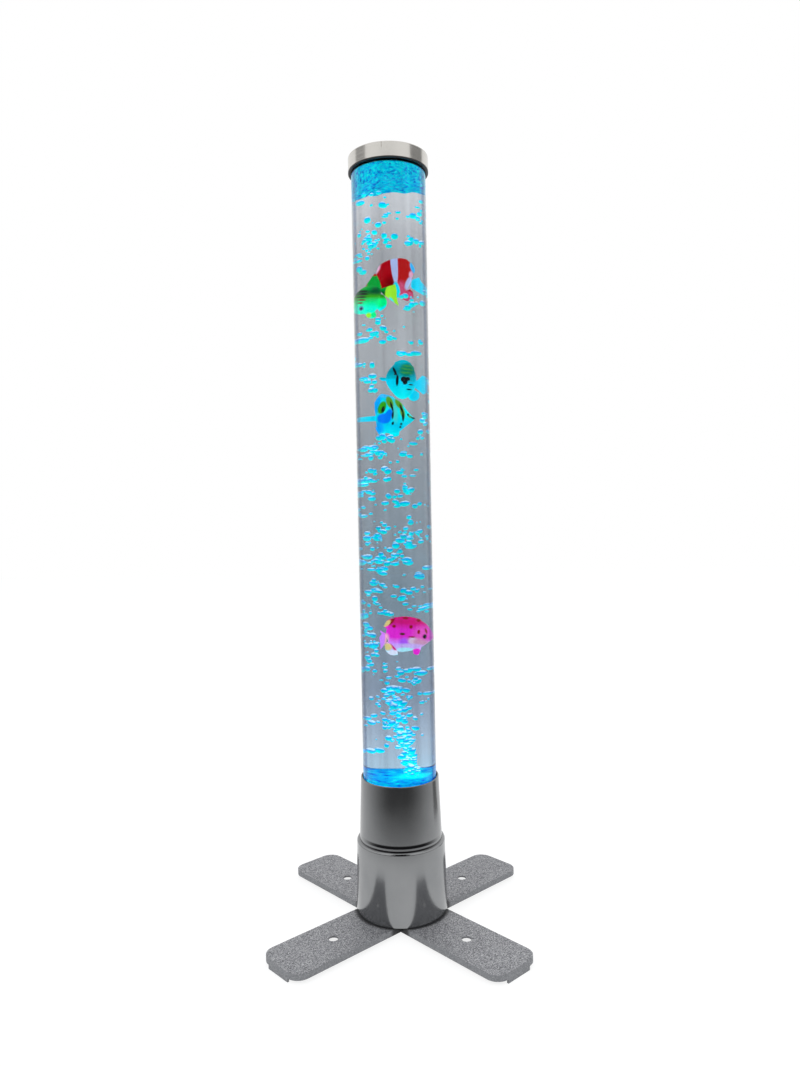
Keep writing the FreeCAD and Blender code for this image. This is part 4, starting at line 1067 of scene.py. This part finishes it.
def make_lit_layer():
    """The lowest millimetres of water, full of light and of the finest bubbles."""
    mesh = bmesh.new()
    radius = bore_radius - lit_room
    low, high = disc_high.z + lit_bottom, disc_high.z + lit_top
    add_turned(mesh, [(0, low), (radius, low), (radius, high), (0, high)], False)
    piece = finish_mesh(mesh, "lit_water_layer")
    piece.data.materials.append(lit_floor())
    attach(piece, "lamp")
    sharpen(piece)


def add_bubble(mesh, place, wide, rng):
    """A bubble that is wider than tall, turned at random."""
    tall = wide * rng.uniform(0.6, 0.9)
    turn = Euler((rng.uniform(-0.4, 0.4), rng.uniform(-0.4, 0.4), rng.uniform(0, 3.1)))
    size = Matrix.Diagonal((wide, wide * rng.uniform(0.75, 1.0), tall, 1.0))
    matrix = Matrix.Translation(place) @ turn.to_matrix().to_4x4() @ size
    bmesh.ops.create_icosphere(mesh, subdivisions=2, radius=1.0, matrix=matrix)


# Bands of the column: lowest and highest in metres, and how many clusters rise in each
bubble_bands = [
    (0.215, 0.30, 9), (0.30, 0.36, 18), (0.36, 0.43, 24), (0.43, 0.52, 34), (0.52, 0.62, 42),
    (0.62, 0.70, 22), (0.70, 0.76, 10), (0.76, 0.83, 12), (0.83, 0.92, 26), (0.92, 0.975, 14),
]
bubble_seed = 21
column_reach = 40 * mm
cluster_room = 4 * mm
wall_room = 0.5 * mm

# How far the bubbles of a cluster, and the strays about it, spread across, in depth and up
cluster_spread = (5.5, 4.0, 3.4)
stray_spread = (12, 9, 10)
bubble_widths = (2.2, 2.8, 3.4, 4.0, 4.8)

# The plume: its bubbles, where it starts above the nozzle, its height, how closely its
# bubbles crowd at the foot, how wide it starts and opens, and how far it leans to the left
plume_count = 170
plume_start = 1.5 * mm
plume_height = 120 * mm
plume_crowding = 1.6
plume_width = 7.5 * mm
plume_opening = 0.10
plume_lean = 0.16


def make_bubbles():
    """Clusters of bubbles all over the column, and a tight plume over the nozzle."""
    rng = random.Random(bubble_seed)
    mesh = bmesh.new()
    keep_clear = fish_room()
    for low, high, count in bubble_bands:
        placed = 0
        while placed < count:
            reach = column_reach * math.sqrt(rng.random())
            angle = rng.uniform(0, 2 * math.pi)
            middle = Vector((
                reach * math.cos(angle), reach * math.sin(angle), rng.uniform(low, high)
            ))
            if not room_for(middle, cluster_room, keep_clear):
                continue
            placed += 1
            add_cluster(mesh, middle, rng, keep_clear)
    for step in range(plume_count):
        rise = plume_height * (step / plume_count) ** plume_crowding
        spread = plume_width + plume_opening * rise
        place = Vector((
            nozzle_x + rng.gauss(0, 0.5) * spread - plume_lean * rise,
            rng.gauss(0, 0.4) * spread, nozzle_high.z + plume_start + rise,
        ))
        wide = rng.uniform(2.0, 4.6) * mm
        add_bubble(mesh, place, wide, rng)
    piece = finish_mesh(mesh, "air_bubbles")
    piece.data.materials.append(air_bubbles())
    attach(piece, "lamp")


def fish_room():
    """For each fish, the corners of its box and those of the path it swims along."""
    rooms = []
    joints = {joint["child"]: joint for joint in frame["record"]["behaviour"]["joints"]}
    for node, figure in figures.items():
        low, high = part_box(node)
        down, up = joints[figure["body"]]["range_m"]
        rooms.append((low, high, low + Vector((0, 0, down)), high + Vector((0, 0, up))))
    return rooms


def scattered(rng, middle, spread):
    """A random place about a middle, with a spread in millimetres along each axis."""
    return middle + Vector([rng.gauss(0, reach) for reach in spread]) * mm


def add_cluster(mesh, middle, rng, keep_clear):
    """One to five bubbles that rise side by side, with a few small ones about them."""
    for _ in range(rng.choice((1, 1, 2, 3, 3, 4, 5))):
        place = scattered(rng, middle, cluster_spread)
        wide = rng.choice(bubble_widths) * mm
        if room_for(place, wide, keep_clear):
            add_bubble(mesh, place, wide, rng)
    for _ in range(rng.choice((0, 1, 2))):
        place = scattered(rng, middle, stray_spread)
        wide = rng.uniform(1.0, 2.0) * mm
        if room_for(place, wide, keep_clear):
            add_bubble(mesh, place, wide, rng)


def room_for(place, wide, keep_clear):
    """Whether a bubble lies in the water and clear of the fish."""
    if math.hypot(place.x, place.y) + wide > bore_radius - wall_room:
        return False
    for low, high, path_low, path_high in keep_clear:
        if all(low[i] - wide < place[i] < high[i] + wide for i in (0, 2)):
            return False
        if all(path_low[i] - wide < place[i] < path_high[i] + wide for i in range(3)):
            return False
    return True


# ---- Finishes of the frame's own pieces

# Colour, roughness, share of metal, and the size of the soft patches in metres
plain_finishes = {
    "black_plastic": ((0.012, 0.012, 0.013), 0.42, 0.0, 0.03),
    "black_rubber": ((0.010, 0.010, 0.010), 0.6, 0.0, 0.03),
    "screw_steel": ((0.50, 0.50, 0.52), 0.28, 1.0, 0.004),
    "clear_hose": ((0.62, 0.66, 0.66), 0.3, 0.0, 0.01),
    "white_board": ((0.72, 0.72, 0.70), 0.35, 0.0, 0.03),
    "core_iron": ((0.12, 0.12, 0.125), 0.4, 0.8, 0.004),
    "copper_wire": ((0.55, 0.20, 0.07), 0.25, 1.0, 0.003),
    "magnet_nickel": ((0.6, 0.59, 0.56), 0.15, 1.0, 0.004),
    "green_board": ((0.01, 0.12, 0.04), 0.35, 0.0, 0.03),
    "white_plastic": ((0.66, 0.64, 0.58), 0.45, 0.0, 0.01),
    "chip_black": ((0.012, 0.012, 0.014), 0.35, 0.0, 0.005),
    "lead_sheath": ((0.014, 0.014, 0.014), 0.4, 0.0, 0.01),
}


def dress_frame():
    """Give the frame's own pieces the finish of their slot. The fish keep theirs."""
    finishes = {
        "silver_texture": silver_texture(),
        "silver_housing": silver_housing(),
        "brushed_cap": brushed_cap(),
        "clear_acrylic": lit_floor(),
        "clear_nylon": glowing_nylon(),
        "led_lens": lit_floor(),
    }
    for slot, settings in plain_finishes.items():
        finishes[slot] = plain_finish(slot, *settings)
    for entry in frame["record"]["subparts"]:
        slot = entry["material_slot"]
        if slot not in finishes:
            continue
        data = frame["nodes"][entry["node"]].data
        data.materials.clear()
        data.materials.append(finishes[slot])


# ---- Floor, backdrop and light

# The dim room that shows in shiny surfaces, as cards of (size, place, turn in degrees, shade)
cards = {
    "room_wall": ((2.6, 1.75), (0.05, -3.0, 0.875), (90, 0, 0), 0.01),
    "room_ceiling": ((0.9, 1.45), (0.03, -1.48, 1.25), (0, 0, 0), 0.01),
    "left_wall": ((1.0, 0.5), (-1.485, -0.21, 1.66), (90, 0, 98), 0.40),
    "right_wall": ((1.3, 0.5), (1.5, 0.03, 1.66), (90, 0, 91), 0.28),
    "right_floor": ((0.9, 0.2), (0.8, 0.43, 0.002), (0, 0, 28), 0.3),
}

# Area lights as (place, target, size, power in watts)
lamps = {
    "key": ((-1.6, -1.8, 2.2), (0, 0, 0.4), (1.2, 1.2), 26),
    "fill": ((1.9, -1.2, 1.4), (0, 0, 0.4), (1.0, 1.4), 10),
    "back": ((0.4, 1.9, 1.9), (0, 0, 0.5), (1.4, 1.0), 10),
}


def show_only_in_gloss(card):
    """Hide a card from everything but reflections."""
    card.visible_camera = False
    card.visible_diffuse = False
    card.visible_transmission = False
    card.visible_shadow = False


def make_card(name, size, place, turn, shade):
    """A flat card of one grey that only shiny surfaces see."""
    mesh = bmesh.new()
    bmesh.ops.create_grid(mesh, x_segments=1, y_segments=1, size=0.5)
    turned = Euler([math.radians(angle) for angle in turn]).to_matrix().to_4x4()
    matrix = Matrix.Translation(place) @ turned @ Matrix.Diagonal((*size, 1.0, 1.0))
    bmesh.ops.transform(mesh, matrix=matrix, verts=mesh.verts)
    card = finish_mesh(mesh, name)
    material, tree, _ = new_material(name)
    light = add(tree, "Emission", {"Color": (shade, shade, shade, 1.0)})
    tree.links.new(light.outputs[0], tree.nodes["Material Output"].inputs["Surface"])
    card.data.materials.append(material)
    show_only_in_gloss(card)
    return tree, light


def make_dark_floor():
    """The dim floor before the object, fading towards it and to the sides."""
    tree, light = make_card("room_floor", (5.0, 5.0), (0.0, -0.9, 2 * mm), (0, 0, 0), 0.004)
    depth = ramp(tree, fitted(tree, axis_distance(tree), 0.3, 1.1), greys([
        (0.0, 0), (0.03, 0.34), (0.11, 0.48), (0.236, 0.67), (0.345, 0.74), (0.38, 1),
        (0.44, 1), (0.48, 0.93), (1.0, 0.88),
    ]))
    parts = own_parts(tree)
    forward = worked(tree, "MULTIPLY", parts["Y"], -1.0)
    away = worked(tree, "ABSOLUTE", worked(tree, "ARCTAN2", parts["X"], forward))
    middle = fitted(tree, away, math.radians(20), math.radians(130), 1.0, 0.2, smooth=True)
    clear = add(tree, "BsdfTransparent")
    mix_shaders(tree, worked(tree, "MULTIPLY", depth, middle), clear, light)


def seen_white(tree):
    """One where the surface or the sky is seen, by eye, in gloss or through glass."""
    path = add(tree, "LightPath").outputs
    first = worked(tree, "MAXIMUM", path["Is Camera Ray"], path["Is Glossy Ray"])
    return worked(tree, "MAXIMUM", first, path["Is Transmission Ray"])


# The floor: half its side in metres, and how bright and how strong its added white is
floor_reach = 6.0
floor_white = 1.18
floor_share = 0.72


def make_floor():
    """A wide white floor that shows paler than the light alone would make it."""
    mesh = bmesh.new()
    bmesh.ops.create_grid(mesh, x_segments=1, y_segments=1, size=floor_reach)
    floor = finish_mesh(mesh, "floor")
    material, tree, shader = new_material("floor")
    set_inputs(shader, base_color=(0.86, 0.86, 0.86, 1.0), roughness=0.9)
    white = add(tree, "Emission", {"Color": (1.0, 1.0, 1.0, 1.0), "Strength": floor_white})
    mix_shaders(tree, worked(tree, "MULTIPLY", seen_white(tree), floor_share), shader, white)
    floor.data.materials.append(material)


sky_strength = 0.62


def make_world():
    """A soft sky that lights the part, and shows plain white where it is seen."""
    world = bpy.data.worlds.new("studio")
    bpy.context.scene.world = world
    world.use_nodes = True
    tree = world.node_tree
    light = tree.nodes["Background"]
    light.inputs["Color"].default_value = (0.93, 0.96, 1.0, 1.0)
    light.inputs["Strength"].default_value = sky_strength
    white = add(tree, "Background", {"Color": (1.0, 1.0, 1.0, 1.0), "Strength": 1.0})
    mix_shaders(tree, seen_white(tree), light, white, "World Output")


def make_lamp(name, place, target, size, power):
    """An area light that isn't seen itself."""
    data = bpy.data.lights.new(name, "AREA")
    data.shape = "RECTANGLE"
    data.size, data.size_y = size
    data.energy = power
    lamp = bpy.data.objects.new(name, data)
    lamp.visible_camera = False
    lamp.visible_glossy = False
    lamp.visible_transmission = False
    bpy.context.scene.collection.objects.link(lamp)
    turn = (Vector(target) - Vector(place)).to_track_quat("-Z", "Y").to_matrix().to_4x4()
    lamp.matrix_world = Matrix.Translation(place) @ turn


def make_studio():
    """The floor, the sky, the lights, and the room that shiny surfaces show."""
    make_floor()
    make_world()
    for name, settings in lamps.items():
        make_lamp(name, *settings)
    make_dark_floor()
    for name, settings in cards.items():
        make_card(name, *settings)


make_camera()
make_studio()
dress_frame()
make_tube()
make_water()
make_foam()
make_lit_layer()
make_bubbles()
eye_paint = plain_finish("eye_paint", (0.004, 0.004, 0.008), 0.12, patch=0.002)
for node, figure in figures.items():
    make_fish(node, figure, eye_paint)

scene = bpy.context.scene
scene.view_settings.view_transform = "Standard"
scene.cycles.caustics_reflective = False
scene.cycles.caustics_refractive = False
